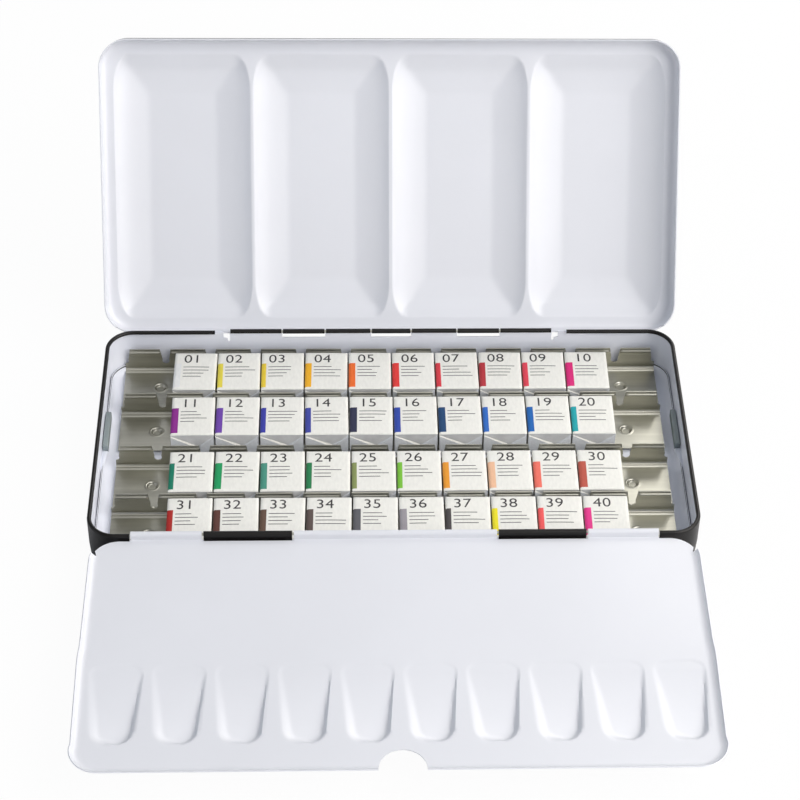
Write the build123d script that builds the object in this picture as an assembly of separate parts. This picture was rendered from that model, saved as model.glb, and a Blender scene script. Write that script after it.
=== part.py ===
"""Hinged tinplate watercolour box: tray, lid with wells, fold-out flap and forty wrapped half pans.

Frame: X to the right, Y to the back, Z up. The origin is the centre of the tray's underside.
The lid and the flap are drawn in the pose that they are shown in, with the box open.
The box is laid out round its contents: its width, depth and height follow from the wrapped pans and the gaps.
"""
from build123d import *
from math import sqrt
import os

# Wrapped half pans, in millimetres
PANS_PER_ROW = 10
PAN_GAP = 0.32
ROW_SHIFTS = (0.0, 0.3, 1.0, 1.4)
ROW_SETBACKS = (0.0, 0.0, 1.0, 0.0)
WRAPPER_WIDTH = 15.9
WRAPPER_LENGTH = 20.6
WRAPPER_HEIGHT = 10.5
PAPER = 0.2
FOLD_BEVEL = 0.35
FOLD_SLIT = 0.3
FOLD_SLIT_WIDTH = 6.0
CUP_CLEARANCE = 0.1
CUP_HEADROOM = 0.5
CUP_WALL = 0.9
CUP_TAPER = 0.7
PAINT_CLEARANCE = 0.05
PAINT_DROP = 1.4

# Inserts: each is one sheet with two rows of spring tabs
INSERT_SHEET = 0.3
ROWS_PER_INSERT = 2
ROW_END_SPACE = 19.06
ROW_GAP = 1.2
LAST_FLOOR_CUT = 3.8
INSERT_GAP = 7.9
INSERT_END_GAP = 3.6
INSERT_BACK_GAP = 1.95
INSERT_FRONT_GAP = 7.65
INSERT_CORNER_GAP = 0.2
TAB_DROP = 0.5
TAB_COUNT = 12
END_TAB = 15.25
NOTCH_TOP = 4.0
NOTCH_BOTTOM = 2.2
NOTCH_BULB = 2.7
NOTCH_HEIGHT = 7.0
TAB_BEAD = 0.9
TAB_BEAD_DROP = 1.7
TAB_BEAD_INSET = 0.7
FOOT_RIDGE = 1.0
FOOT_RIDGE_OFFSET = 1.2
PAN_CLEARANCE = 0.1
DIMPLE = 4.2
DIMPLE_HEIGHT = 0.8
DIMPLE_INSET = 13.5
DIMPLE_SETBACK = 10.5

# Tray
HEADROOM = 7.0
CORNER_RADIUS = 10.0
FOOT_RADIUS = 4.5
SHEET = 0.4
RIM_CURL = 1.5

# Hinge wires, and the gaps between neighbouring knuckles and round the flap's curl
WIRE = 1.0
WIRE_CLEARANCE = 0.05
KNUCKLE_GAP = 0.6
SLOT_CLEARANCE = 0.4

# Back hinge: knuckles from the middle outwards
LID_KNUCKLE = 1.8
LID_HINGE_INSET = 35.8
LID_MIDDLE_KNUCKLE = 14.4
BASE_INNER_KNUCKLE = 17.2
LID_OUTER_KNUCKLE = 15.5
SLOT_DEPTH = 3.6
SLOT_REACH = 1.6
HINGE_RELIEF = 5.6
CORNER_VENT = 2.6
VENT_HEIGHT = 5.4
VENT_LIP = 2.0

# Lid
LID_GAP = 0.5
LID_LAP = 1.0
LID_RISE = 0.3
LID_SHOULDER = 2.4
LID_HEADROOM = 0.6
LID_OPEN_ANGLE = 121.0
WELL_COUNT = 4
WELL_RIDGE = 1.2
WELL_SIDE_MARGIN = 4.7
WELL_BACK_MARGIN = 4.9
WELL_FRONT_MARGIN = 5.9
WELL_DEPTH = 4.2
WELL_SIDE_SLOPE = 13.0
WELL_END_SLOPE = 15.0
WELL_CORNER = 5.0

# Front hinge and mixing flap
FLAP_KNUCKLE = 2.2
FLAP_HINGE_INSET = 5.5
FLAP_MIDDLE_KNUCKLE = 69.6
BASE_FRONT_KNUCKLE = 30.2
FLAP_HINGE_DROP = 0.3
FLAP_HINGE_OUTSET = 0.2
FLAP_SIDE_GAP = 0.5
FLAP_BACK_GAP = 3.8
FLAP_STEP = 1.5
FLAP_LIP = 2.3
FLAP_BEND = 1.6
FLAP_LIP_START = 9.0
FLAP_CORNER = 10.0
FLAP_SLOT = 0.65
THUMB_NOTCH_RADIUS = 7.7
THUMB_NOTCH_DEPTH = 9.2
THUMB_NOTCH_OFFSET = 0.8
PAINT_WELL_COUNT = 10
PAINT_WELL_SIDE = 2.5
PAINT_WELL_RIDGE = 2.3
PAINT_WELL_TAPER = 2.2
PAINT_WELL_START = 57.5
PAINT_WELL_BORDER = 12.3
PAINT_WELL_DEPTH = 3.4
PAINT_WELL_SLOPE = 2.2
PAINT_WELL_RAMP = 8.8
PAINT_WELL_CORNER = 2.4

# Spring clips along the side walls, and the pressed pockets that hold their front ends
CLIP_LENGTH = 18.2
CLIP_WIDTH = 2.0
CLIP_HEIGHT = 3.0
CLIP_SHEET = 0.4
CLIP_EDGE_RADIUS = 0.45
CLIP_CLEARANCE = 0.05
CLIP_WALL_GAP = 0.4
CLIP_FRONT = 4.8
POCKET_LENGTH = 14.5
POCKET_DEPTH = 2.2
POCKET_TIP = 0.6
POCKET_GAP = 0.05

# How far a cutting solid runs past what it cuts, and a length beyond the whole box
OVERRUN = 1.0
BEYOND = 400.0

# Derived places: contents
PAN_SETBACK = FOOT_RIDGE_OFFSET + FOOT_RIDGE / 2 + PAN_CLEARANCE
PAN_PITCH = WRAPPER_WIDTH + PAN_GAP
ROW_PITCH = WRAPPER_LENGTH + 2 * INSERT_SHEET + PAN_SETBACK + ROW_GAP
INSERT_LENGTH = PANS_PER_ROW * PAN_PITCH - PAN_GAP + 2 * ROW_END_SPACE
INSERT_DEPTH = ROWS_PER_INSERT * ROW_PITCH - LAST_FLOOR_CUT
INSERT_FLOOR = SHEET + DIMPLE_HEIGHT
PAN_BOTTOM = INSERT_FLOOR + INSERT_SHEET
PAN_TOP = PAN_BOTTOM + WRAPPER_HEIGHT
TAB_TOP = PAN_TOP - TAB_DROP
TAB_PITCH = (INSERT_LENGTH - 2 * END_TAB) / (TAB_COUNT - 2)
CUP_HEIGHT = WRAPPER_HEIGHT - 2 * PAPER - CUP_HEADROOM

# Derived places: tray
BOX_WIDTH = INSERT_LENGTH + 2 * (INSERT_END_GAP + CLIP_WIDTH + SHEET)
BOX_DEPTH = 2 * INSERT_DEPTH + INSERT_GAP + INSERT_BACK_GAP + INSERT_FRONT_GAP + 2 * SHEET
BOX_HEIGHT = PAN_TOP + HEADROOM
HALF_WIDTH = BOX_WIDTH / 2
HALF_DEPTH = BOX_DEPTH / 2
RIM_RADIUS = RIM_CURL / 2
BACK_WALL = HALF_DEPTH - SHEET - INSERT_BACK_GAP
FRONT_INSERT_WALL = BACK_WALL - INSERT_DEPTH - INSERT_GAP
CLIP_FACE = HALF_WIDTH - SHEET - CLIP_WALL_GAP
INNER_BEND = FOOT_RADIUS - SHEET
CLIP_BOTTOM = FOOT_RADIUS - sqrt(INNER_BEND**2 - (INNER_BEND - CLIP_WALL_GAP) ** 2) + CLIP_CLEARANCE
CLIP_TOP = CLIP_BOTTOM + CLIP_HEIGHT
STRAIGHT_WIDTH = BOX_WIDTH - 2 * CORNER_RADIUS
BORE = WIRE / 2 + WIRE_CLEARANCE

# Derived places: flap
FLAP_AXIS = (-HALF_DEPTH + FLAP_KNUCKLE / 2 - FLAP_HINGE_OUTSET, BOX_HEIGHT - FLAP_HINGE_DROP)
FLAP_HINGE_LENGTH = STRAIGHT_WIDTH - 2 * FLAP_HINGE_INSET
FLAP_WIDTH = BOX_WIDTH - 2 * (RIM_CURL + FLAP_SIDE_GAP)
FLAP_REACH = HALF_DEPTH - FLAP_BACK_GAP - FLAP_AXIS[0]
FLAP_FLOOR = FLAP_AXIS[1] - FLAP_STEP
FLAP_UNDERSIDE = FLAP_FLOOR - SHEET
FLAP_EDGE = FLAP_AXIS[0] - FLAP_KNUCKLE / 2 - FLAP_SLOT
FLAP_FREE_EDGE = FLAP_AXIS[0] - FLAP_REACH
PAINT_WELL_PITCH = (FLAP_WIDTH - 2 * PAINT_WELL_SIDE) / PAINT_WELL_COUNT
PAINT_WELL_LENGTH = FLAP_REACH - PAINT_WELL_START - PAINT_WELL_BORDER
SHUT_FLAP_TOP = 2 * FLAP_AXIS[1] - FLAP_UNDERSIDE + PAINT_WELL_DEPTH

# Derived places: lid
LID_OVERHANG = LID_GAP + SHEET
LID_WIDTH = BOX_WIDTH + 2 * LID_OVERHANG
LID_DEPTH = BOX_DEPTH + 2 * LID_OVERHANG
LID_CORNER = CORNER_RADIUS + LID_OVERHANG
LID_BOTTOM = BOX_HEIGHT - LID_LAP
LID_TOP = SHUT_FLAP_TOP + LID_HEADROOM + SHEET
LID_AXIS = (HALF_DEPTH + LID_OVERHANG - LID_KNUCKLE / 2, BOX_HEIGHT - LID_KNUCKLE / 2)
LID_HINGE_LENGTH = STRAIGHT_WIDTH - 2 * LID_HINGE_INSET


def box_between(low, high):
    """A plain box from one corner to the opposite one."""
    size = [b - a for a, b in zip(low, high)]
    middle = [(a + b) / 2 for a, b in zip(low, high)]
    return Pos(*middle) * Box(*size)


def upright_plane(y):
    """A drawing plane across the box at a given Y, with X to the right and its own Y up."""
    return Plane(origin=(0, y, 0), z_dir=(0, -1, 0), x_dir=(1, 0, 0))


def rounded_prism(width, depth, radius, bottom, top, centre_y=0.0):
    """An upright prism on a rounded rectangle."""
    outline = Pos(0, centre_y, bottom) * RectangleRounded(width, depth, radius)
    return extrude(outline, top - bottom)


def bent_prism(width, depth, radius, bottom, top, bend, centre_y=0.0):
    """An upright prism on a rounded rectangle, with its foot edge bent to a radius."""
    block = rounded_prism(width, depth, radius, bottom, top, centre_y)
    return fillet(block.edges().group_by(Axis.Z)[0], bend)


def tray_shell(width, depth, radius, bottom, top, bend, centre_y=0.0):
    """An open tray of even sheet, with its foot bent to a radius."""
    outer = bent_prism(width, depth, radius, bottom, top, bend, centre_y)
    inner = bent_prism(width - 2 * SHEET, depth - 2 * SHEET, radius - SHEET, bottom + SHEET, top + OVERRUN,
                       bend - SHEET, centre_y)
    return outer - inner


def rod(start, end, radius, axis):
    """A round bar along X about a hinge axis given as (y, z)."""
    turned = Rot(0, 90, 0) * Cylinder(radius, end - start)
    return Pos((start + end) / 2, *axis) * turned


def bored(start, end, shape, axis):
    """A shape with the wire's bore run through it between two X places."""
    return shape - rod(start - OVERRUN, end + OVERRUN, BORE, axis)


def mirrored(spans):
    """Spans on the right half, joined by their mirror images on the left."""
    return [(-b, -a) for a, b in spans] + list(spans)


def both_sides(part):
    """A piece of the right half together with its mirror image on the left."""
    return part + mirror(part, Plane.YZ)


def lid_hinge_spans():
    """The X spans of the back knuckles: the lid's and the tray's."""
    first = LID_MIDDLE_KNUCKLE / 2
    second = first + KNUCKLE_GAP + BASE_INNER_KNUCKLE
    third = second + KNUCKLE_GAP + LID_OUTER_KNUCKLE
    lid = [(-first, first)] + mirrored([(second + KNUCKLE_GAP, third)])
    tray = mirrored([(first + KNUCKLE_GAP, second), (third + KNUCKLE_GAP, LID_HINGE_LENGTH / 2)])
    return lid, tray


def flap_hinge_spans():
    """The X spans of the front knuckles: the flap's and the tray's."""
    first = FLAP_MIDDLE_KNUCKLE / 2
    second = first + KNUCKLE_GAP + BASE_FRONT_KNUCKLE
    flap = [(-first, first)] + mirrored([(second + KNUCKLE_GAP, FLAP_HINGE_LENGTH / 2)])
    tray = mirrored([(first + KNUCKLE_GAP, second)])
    return flap, tray


def rolled_rim():
    """The bead rolled inwards round the tray's mouth."""
    inset = 2 * RIM_RADIUS
    outline = RectangleRounded(BOX_WIDTH - inset, BOX_DEPTH - inset, CORNER_RADIUS - RIM_RADIUS)
    path = outline.face().outer_wire()
    start = Plane(origin=path @ 0, z_dir=path % 0)
    bead = sweep(start * Circle(RIM_RADIUS), path=path, transition=Transition.RIGHT)
    return Pos(0, 0, BOX_HEIGHT - RIM_RADIUS) * bead


def clip_pocket(inset, outside):
    """The tapered fold in the foot of the right wall, in front of the clip. Inset gives its hollow side."""
    back = CLIP_FRONT - POCKET_GAP - inset
    tip = CLIP_FRONT - POCKET_LENGTH
    low = CLIP_BOTTOM + inset
    high = CLIP_TOP - inset
    ends = []
    for y, depth in ((back, POCKET_DEPTH), (tip, POCKET_TIP)):
        inner = CLIP_FACE - depth + inset
        outline = Polyline((inner, low), (outside, low), (outside, high), (inner, high), close=True)
        ends.append(upright_plane(y) * make_face(outline))
    return loft(ends, ruled=True)


def corner_vent():
    """The three-cornered nick in the back wall beside the right end of the hinge."""
    outer = LID_HINGE_LENGTH / 2 + CORNER_VENT
    inner = (LID_HINGE_LENGTH + KNUCKLE_GAP) / 2
    above = BOX_HEIGHT + OVERRUN
    outline = Polyline((outer, BOX_HEIGHT - VENT_LIP), (inner, BOX_HEIGHT - VENT_HEIGHT), (inner, above),
                       (outer, above), close=True)
    return extrude(upright_plane(HALF_DEPTH + OVERRUN) * make_face(outline), SLOT_REACH + OVERRUN)


def base_tray():
    """The tray: pressed shell, rolled rim, hinge knuckles, hinge slots and clip pockets."""
    tray = tray_shell(BOX_WIDTH, BOX_DEPTH, CORNER_RADIUS, 0, BOX_HEIGHT - RIM_RADIUS, FOOT_RADIUS)
    tray += rolled_rim()
    lid_spans, back_spans = lid_hinge_spans()
    flap_spans, front_spans = flap_hinge_spans()

    # The rim is cut away along both hinges, and the wall is slotted where the lid's knuckles turn
    relief = LID_HINGE_LENGTH / 2 + HINGE_RELIEF
    behind = HALF_DEPTH + OVERRUN
    bead_inside = 2 * RIM_CURL
    tray -= box_between((-relief, HALF_DEPTH - bead_inside, LID_AXIS[1]), (relief, behind, BEYOND))
    tray -= box_between((-relief, HALF_DEPTH - bead_inside, BOX_HEIGHT - bead_inside),
                        (relief, HALF_DEPTH - SHEET, BEYOND))
    for start, end in lid_spans:
        tray -= box_between((start - KNUCKLE_GAP / 2, HALF_DEPTH - SLOT_REACH, BOX_HEIGHT - SLOT_DEPTH),
                            (end + KNUCKLE_GAP / 2, behind, BEYOND))
    front_half = (FLAP_HINGE_LENGTH + KNUCKLE_GAP) / 2
    front_top = FLAP_UNDERSIDE - SLOT_CLEARANCE
    tray -= box_between((-front_half, -behind, front_top), (front_half, -HALF_DEPTH + bead_inside, BEYOND))

    # The tray's own knuckles, each on its strip of wall
    for start, end in back_spans:
        tray += rod(start, end, LID_KNUCKLE / 2, LID_AXIS)
    for start, end in front_spans:
        tray += box_between((start, -HALF_DEPTH, front_top - SHEET), (end, -HALF_DEPTH + SHEET, FLAP_AXIS[1]))
        tray += rod(start, end, FLAP_KNUCKLE / 2, FLAP_AXIS)
    tray = bored(-relief, relief, tray, LID_AXIS)
    tray = bored(-front_half, front_half, tray, FLAP_AXIS)

    tray -= both_sides(corner_vent())
    block = bent_prism(BOX_WIDTH, BOX_DEPTH, CORNER_RADIUS, 0, BOX_HEIGHT, FOOT_RADIUS)
    tray += both_sides(clip_pocket(0, HALF_WIDTH)) & block
    return tray - both_sides(clip_pocket(SHEET, HALF_WIDTH + OVERRUN))


def mixing_well(width, length, level, inset):
    """A pressed mixing well, as a frustum that rises from the lid's top plane. Inset gives its inner face."""
    mouth = Rectangle(width - 2 * inset, length - 2 * inset)
    floor = Rectangle(width - 2 * (WELL_SIDE_SLOPE + inset), length - 2 * (WELL_END_SLOPE + inset))
    centre_y = (WELL_FRONT_MARGIN - WELL_BACK_MARGIN) / 2
    well = loft([Pos(0, centre_y, level) * mouth, Pos(0, centre_y, level + WELL_DEPTH) * floor], ruled=True)
    return fillet(well.edges().group_by(Axis.Z)[1], WELL_CORNER)


def lid_closed():
    """The lid as it lies on the shut box: skirt, shoulder, wells standing out, and back knuckles."""
    shell = rounded_prism(LID_WIDTH, LID_DEPTH, LID_CORNER, LID_BOTTOM, LID_TOP)
    shell = fillet(shell.edges().group_by(Axis.Z)[-1], LID_SHOULDER)
    hollow = rounded_prism(LID_WIDTH - 2 * SHEET, LID_DEPTH - 2 * SHEET, LID_CORNER - SHEET,
                           LID_BOTTOM - OVERRUN, LID_TOP - SHEET)
    hollow = fillet(hollow.edges().group_by(Axis.Z)[-1], LID_SHOULDER - SHEET)

    ridges = (WELL_COUNT - 1) * WELL_RIDGE
    width = (LID_WIDTH - 2 * WELL_SIDE_MARGIN - ridges) / WELL_COUNT
    length = LID_DEPTH - WELL_BACK_MARGIN - WELL_FRONT_MARGIN
    places = [Pos((index - (WELL_COUNT - 1) / 2) * (width + WELL_RIDGE), 0, 0) for index in range(WELL_COUNT)]
    outside = mixing_well(width, length, LID_TOP, 0)
    inside = mixing_well(width, length, LID_TOP - SHEET, SHEET)
    panel = shell + [place * outside for place in places]
    lid = panel - hollow - [place * inside for place in places]

    # The back skirt stops above the rim, so that it can swing past the tray's wall
    raised = BOX_HEIGHT + LID_RISE
    lid -= box_between((-LID_WIDTH, HALF_DEPTH - LID_RISE - LID_LAP, LID_BOTTOM - OVERRUN),
                       (LID_WIDTH, LID_DEPTH, raised))
    inner_face = HALF_DEPTH + LID_GAP
    for start, end in lid_hinge_spans()[0]:
        knuckle = rod(start, end, LID_KNUCKLE / 2, LID_AXIS)
        knuckle += box_between((start, inner_face, LID_AXIS[1]), (end, inner_face + SHEET, raised + SHEET))
        lid += bored(start, end, knuckle, LID_AXIS)
    return lid


def lid():
    """The lid, swung open about its hinge."""
    y, z = LID_AXIS
    return Pos(0, y, z) * Rot(-LID_OPEN_ANGLE, 0, 0) * Pos(0, -y, -z) * lid_closed()


def paint_well(level, inset):
    """A tapered well of the flap at X = 0, with a long ramp at its hinge side. Inset gives its inner face."""
    far = FLAP_AXIS[0] - PAINT_WELL_START - inset
    length = PAINT_WELL_LENGTH - 2 * inset
    near = far - length
    wide = (PAINT_WELL_PITCH - PAINT_WELL_RIDGE) / 2 - inset
    narrow = wide - PAINT_WELL_TAPER
    slant = PAINT_WELL_TAPER / length
    floor_wide = wide - slant * PAINT_WELL_RAMP - PAINT_WELL_SLOPE
    floor_narrow = narrow + slant * PAINT_WELL_SLOPE - PAINT_WELL_SLOPE
    floor_far = far - PAINT_WELL_RAMP
    floor_near = near + PAINT_WELL_SLOPE
    mouth = Polyline((-wide, far), (wide, far), (narrow, near), (-narrow, near), close=True)
    floor = Polyline((-floor_wide, floor_far), (floor_wide, floor_far), (floor_narrow, floor_near),
                     (-floor_narrow, floor_near), close=True)
    sections = [Pos(0, 0, level) * make_face(mouth), Pos(0, 0, level - PAINT_WELL_DEPTH) * make_face(floor)]
    well = loft(sections, ruled=True)
    return fillet(well.edges().group_by(Axis.Z)[1], PAINT_WELL_CORNER - inset)


def thumb_notch():
    """The round-ended notch in the flap's free edge."""
    centre_y = FLAP_FREE_EDGE + THUMB_NOTCH_DEPTH - THUMB_NOTCH_RADIUS
    width = 2 * THUMB_NOTCH_RADIUS
    outline = Circle(THUMB_NOTCH_RADIUS) + Pos(0, -THUMB_NOTCH_RADIUS) * Rectangle(width, width)
    return Pos(THUMB_NOTCH_OFFSET, centre_y, 0) * extrude(outline, BEYOND)


def mixing_flap():
    """The fold-out flap: hinge curl, floor, raised lips on three sides, paint wells and thumb notch."""
    length = FLAP_EDGE - FLAP_FREE_EDGE
    centre_y = (FLAP_EDGE + FLAP_FREE_EDGE) / 2
    lip_start = FLAP_AXIS[0] - FLAP_LIP_START
    lip_top = FLAP_FLOOR + FLAP_LIP
    flap = tray_shell(FLAP_WIDTH, length, FLAP_CORNER, FLAP_UNDERSIDE, lip_top, FLAP_BEND, centre_y)
    hinge_side = box_between((-BEYOND, lip_start, 0), (BEYOND, 0, BEYOND))
    flap -= hinge_side
    plate = rounded_prism(FLAP_WIDTH - 2 * SHEET, length - SHEET, FLAP_CORNER, FLAP_UNDERSIDE, FLAP_FLOOR,
                          centre_y + SHEET / 2)
    flap += plate & hinge_side

    places = [Pos((index - (PAINT_WELL_COUNT - 1) / 2) * PAINT_WELL_PITCH, 0, 0)
              for index in range(PAINT_WELL_COUNT)]
    outside = paint_well(FLAP_UNDERSIDE, 0)
    inside = paint_well(FLAP_FLOOR, SHEET)
    flap += [place * outside for place in places]
    flap -= [place * inside for place in places]

    # The hinge curl stands a step above the floor on a narrow strip of sheet
    curl_front = FLAP_AXIS[0] - FLAP_KNUCKLE / 2
    for start, end in flap_hinge_spans()[0]:
        knuckle = rod(start, end, FLAP_KNUCKLE / 2, FLAP_AXIS)
        knuckle += box_between((start, curl_front, FLAP_UNDERSIDE), (end, curl_front + SHEET, FLAP_AXIS[1]))
        tread_front = FLAP_EDGE - SHEET
        knuckle += box_between((start, tread_front, FLAP_UNDERSIDE), (end, curl_front + SHEET, FLAP_FLOOR))
        flap += bored(start, end, knuckle, FLAP_AXIS)
    return flap - thumb_notch()


def pressed_ridge(start, end, y, z, half):
    """A ridge pressed into sheet along X. It stands out by half its width, up and to the front."""
    fold = make_face(Polyline((0, half), (-half, 0), (0, -half), (half, 0), close=True))
    section = Plane(origin=(start, y, z), z_dir=(1, 0, 0), x_dir=(0, 1, 0)) * fold
    return extrude(section, end - start)


def notch_cutter(centre_x, wall_front, wall_back):
    """The tapered slot between two spring tabs, with a round end."""
    top = TAB_TOP + OVERRUN
    foot = TAB_TOP - NOTCH_HEIGHT + NOTCH_BULB / 2
    taper = make_face(Polyline((-NOTCH_TOP / 2, top), (NOTCH_TOP / 2, top), (NOTCH_BOTTOM / 2, foot),
                               (-NOTCH_BOTTOM / 2, foot), close=True))
    outline = taper + Pos(0, foot) * Circle(NOTCH_BULB / 2)
    return Pos(centre_x, 0, 0) * extrude(upright_plane(wall_back) * outline, wall_back - wall_front)


def spring_insert(back_wall):
    """One tinplate insert: two rows of spring tabs and floors on dimpled feet, open at the front."""
    half = INSERT_LENGTH / 2
    low = INSERT_FLOOR
    front = back_wall - INSERT_DEPTH
    insert = box_between((-half, front, low), (half, back_wall, low + INSERT_SHEET))
    for row in range(ROWS_PER_INSERT):
        layers = 1 if row == 0 else 2
        back = back_wall - row * ROW_PITCH
        face = back - layers * INSERT_SHEET
        insert += box_between((-half, face, low), (half, back, TAB_TOP))

        # A foot ridge along the row, and a bead pressed into each tab to spring against the pans
        in_row = box_between((-half, face - ROW_PITCH, low), (half, back, BEYOND))
        ridge_y = face - FOOT_RIDGE_OFFSET
        insert += pressed_ridge(-half, half, ridge_y, low + INSERT_SHEET, FOOT_RIDGE / 2) & in_row
        for tab in range(TAB_COUNT):
            x = (tab - (TAB_COUNT - 1) / 2) * TAB_PITCH
            reach = (TAB_PITCH - NOTCH_TOP) / 2 - TAB_BEAD_INSET
            bead_z = TAB_TOP - TAB_BEAD_DROP
            insert += pressed_ridge(x - reach, x + reach, face, bead_z, TAB_BEAD / 2) & in_row
        for gap in range(TAB_COUNT - 1):
            x = (gap - (TAB_COUNT - 2) / 2) * TAB_PITCH
            insert -= notch_cutter(x, face - TAB_BEAD, back + SHEET)

        # Two round dimples stand on the tray and carry the insert
        dimple = Pos(half - DIMPLE_INSET, back - DIMPLE_SETBACK, SHEET)
        insert += both_sides(dimple * extrude(Circle(DIMPLE / 2), DIMPLE_HEIGHT))
        insert -= both_sides(dimple * Pos(0, 0, INSERT_SHEET) * extrude(Circle(DIMPLE / 2 - INSERT_SHEET),
                                                                        DIMPLE_HEIGHT + OVERRUN))

    # The sheet's corners are cut back to follow the tray's bent foot
    hollow_width = BOX_WIDTH - 2 * (SHEET + INSERT_CORNER_GAP)
    hollow_depth = BOX_DEPTH - 2 * (SHEET + INSERT_CORNER_GAP)
    return insert & bent_prism(hollow_width, hollow_depth, CORNER_RADIUS - SHEET - INSERT_CORNER_GAP, SHEET,
                               BOX_HEIGHT, FOOT_RADIUS - SHEET)


def side_clip():
    """The bare spring strip in the bend of the right wall: a channel, open below, with rounded top edges."""
    inner = CLIP_FACE - CLIP_WIDTH
    back = CLIP_FRONT + CLIP_LENGTH
    outer = box_between((inner, CLIP_FRONT, CLIP_BOTTOM), (CLIP_FACE, back, CLIP_TOP))
    outer = fillet(outer.edges().filter_by(Axis.Y).group_by(Axis.Z)[-1], CLIP_EDGE_RADIUS)
    return outer - box_between((inner + CLIP_SHEET, CLIP_FRONT - OVERRUN, CLIP_BOTTOM - OVERRUN),
                               (CLIP_FACE - CLIP_SHEET, back + OVERRUN, CLIP_TOP - CLIP_SHEET))


def pan_place(row, column):
    """The middle of a wrapped pan's underside."""
    insert, row_in_insert = divmod(row, ROWS_PER_INSERT)
    layers = 1 if row_in_insert == 0 else 2
    wall = (BACK_WALL, FRONT_INSERT_WALL)[insert]
    face = wall - row_in_insert * ROW_PITCH - layers * INSERT_SHEET
    x = (column - (PANS_PER_ROW - 1) / 2) * PAN_PITCH + ROW_SHIFTS[row]
    return Pos(x, face - PAN_SETBACK - ROW_SETBACKS[row] - WRAPPER_LENGTH / 2, PAN_BOTTOM)


def wrapper():
    """The paper band and folded ends of one pan, with the slit where the end folds meet."""
    half = WRAPPER_WIDTH / 2
    end = WRAPPER_LENGTH / 2
    outer = box_between((-half, -end, 0), (half, end, WRAPPER_HEIGHT))
    outer = chamfer(outer.edges().filter_by(Axis.Y), FOLD_BEVEL)
    cavity = box_between((PAPER - half, PAPER - end, PAPER),
                         (half - PAPER, end - PAPER, WRAPPER_HEIGHT - PAPER))
    slit_z = WRAPPER_HEIGHT / 2
    slit = box_between((-FOLD_SLIT_WIDTH / 2, -end - OVERRUN, slit_z),
                       (FOLD_SLIT_WIDTH / 2, OVERRUN - end, slit_z + FOLD_SLIT))
    return outer - chamfer(cavity.edges().filter_by(Axis.Y), FOLD_BEVEL) - slit


def tapered_block(width, length, height, taper, bottom):
    """A block whose foot is narrower than its top by a taper on each side."""
    foot = Pos(0, 0, bottom) * Rectangle(width - 2 * taper, length - 2 * taper)
    head = Pos(0, 0, bottom + height) * Rectangle(width, length)
    return loft([foot, head], ruled=True)


def pan_cup():
    """The moulded half pan inside a wrapper."""
    width = WRAPPER_WIDTH - 2 * (PAPER + CUP_CLEARANCE + FOLD_BEVEL)
    length = WRAPPER_LENGTH - 2 * (PAPER + CUP_CLEARANCE)
    cup = tapered_block(width, length, CUP_HEIGHT, CUP_TAPER, PAPER)
    return cup - tapered_block(width - 2 * CUP_WALL, length - 2 * CUP_WALL, CUP_HEIGHT, CUP_TAPER,
                               PAPER + CUP_WALL)


def paint_block():
    """The cast block of colour in a half pan."""
    height = CUP_HEIGHT - CUP_WALL - PAINT_DROP
    spare = PAPER + CUP_CLEARANCE + CUP_WALL + PAINT_CLEARANCE + CUP_TAPER * (1 - height / CUP_HEIGHT)
    width = WRAPPER_WIDTH - 2 * (spare + FOLD_BEVEL)
    length = WRAPPER_LENGTH - 2 * spare
    bottom = PAPER + CUP_WALL + PAINT_CLEARANCE
    return tapered_block(width, length, height, CUP_TAPER * height / CUP_HEIGHT, bottom)


def write(node, shape):
    """One STEP file for one named piece."""
    export_step(shape, f"parts/{node}.step")


os.makedirs("parts", exist_ok=True)
write("base_tray", base_tray())
write("lid", lid())
write("mixing_flap", mixing_flap())
write("lid_hinge_wire", rod(-LID_HINGE_LENGTH / 2, LID_HINGE_LENGTH / 2, WIRE / 2, LID_AXIS))
write("flap_hinge_wire", rod(-FLAP_HINGE_LENGTH / 2, FLAP_HINGE_LENGTH / 2, WIRE / 2, FLAP_AXIS))
write("insert_back", spring_insert(BACK_WALL))
write("insert_front", spring_insert(FRONT_INSERT_WALL))
clip = side_clip()
write("side_clip_right", clip)
write("side_clip_left", mirror(clip, Plane.YZ))
band = wrapper()
cup = pan_cup()
paint = paint_block()
for row in range(len(ROW_SHIFTS)):
    places = [pan_place(row, column) for column in range(PANS_PER_ROW)]
    for column, place in enumerate(places):
        write(f"wrapper_{row * PANS_PER_ROW + column + 1:02d}", place * band)
    write(f"half_pans_row_{row + 1}", Compound([place * cup for place in places]))
    write(f"paint_row_{row + 1}", Compound([place * paint for place in places]))
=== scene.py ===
"""The looks of an open watercolour tin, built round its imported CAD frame.

Sizes are in millimetres, in the frame's own axes: X to the right, Y to the back, Z up. The lid is drawn
shut and then swung open about its hinge, as the CAD does it.
"""
from math import acos, cos, pi, radians, sin, sqrt

import bpy
import numpy as np
from mathutils import Matrix, Vector


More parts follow.
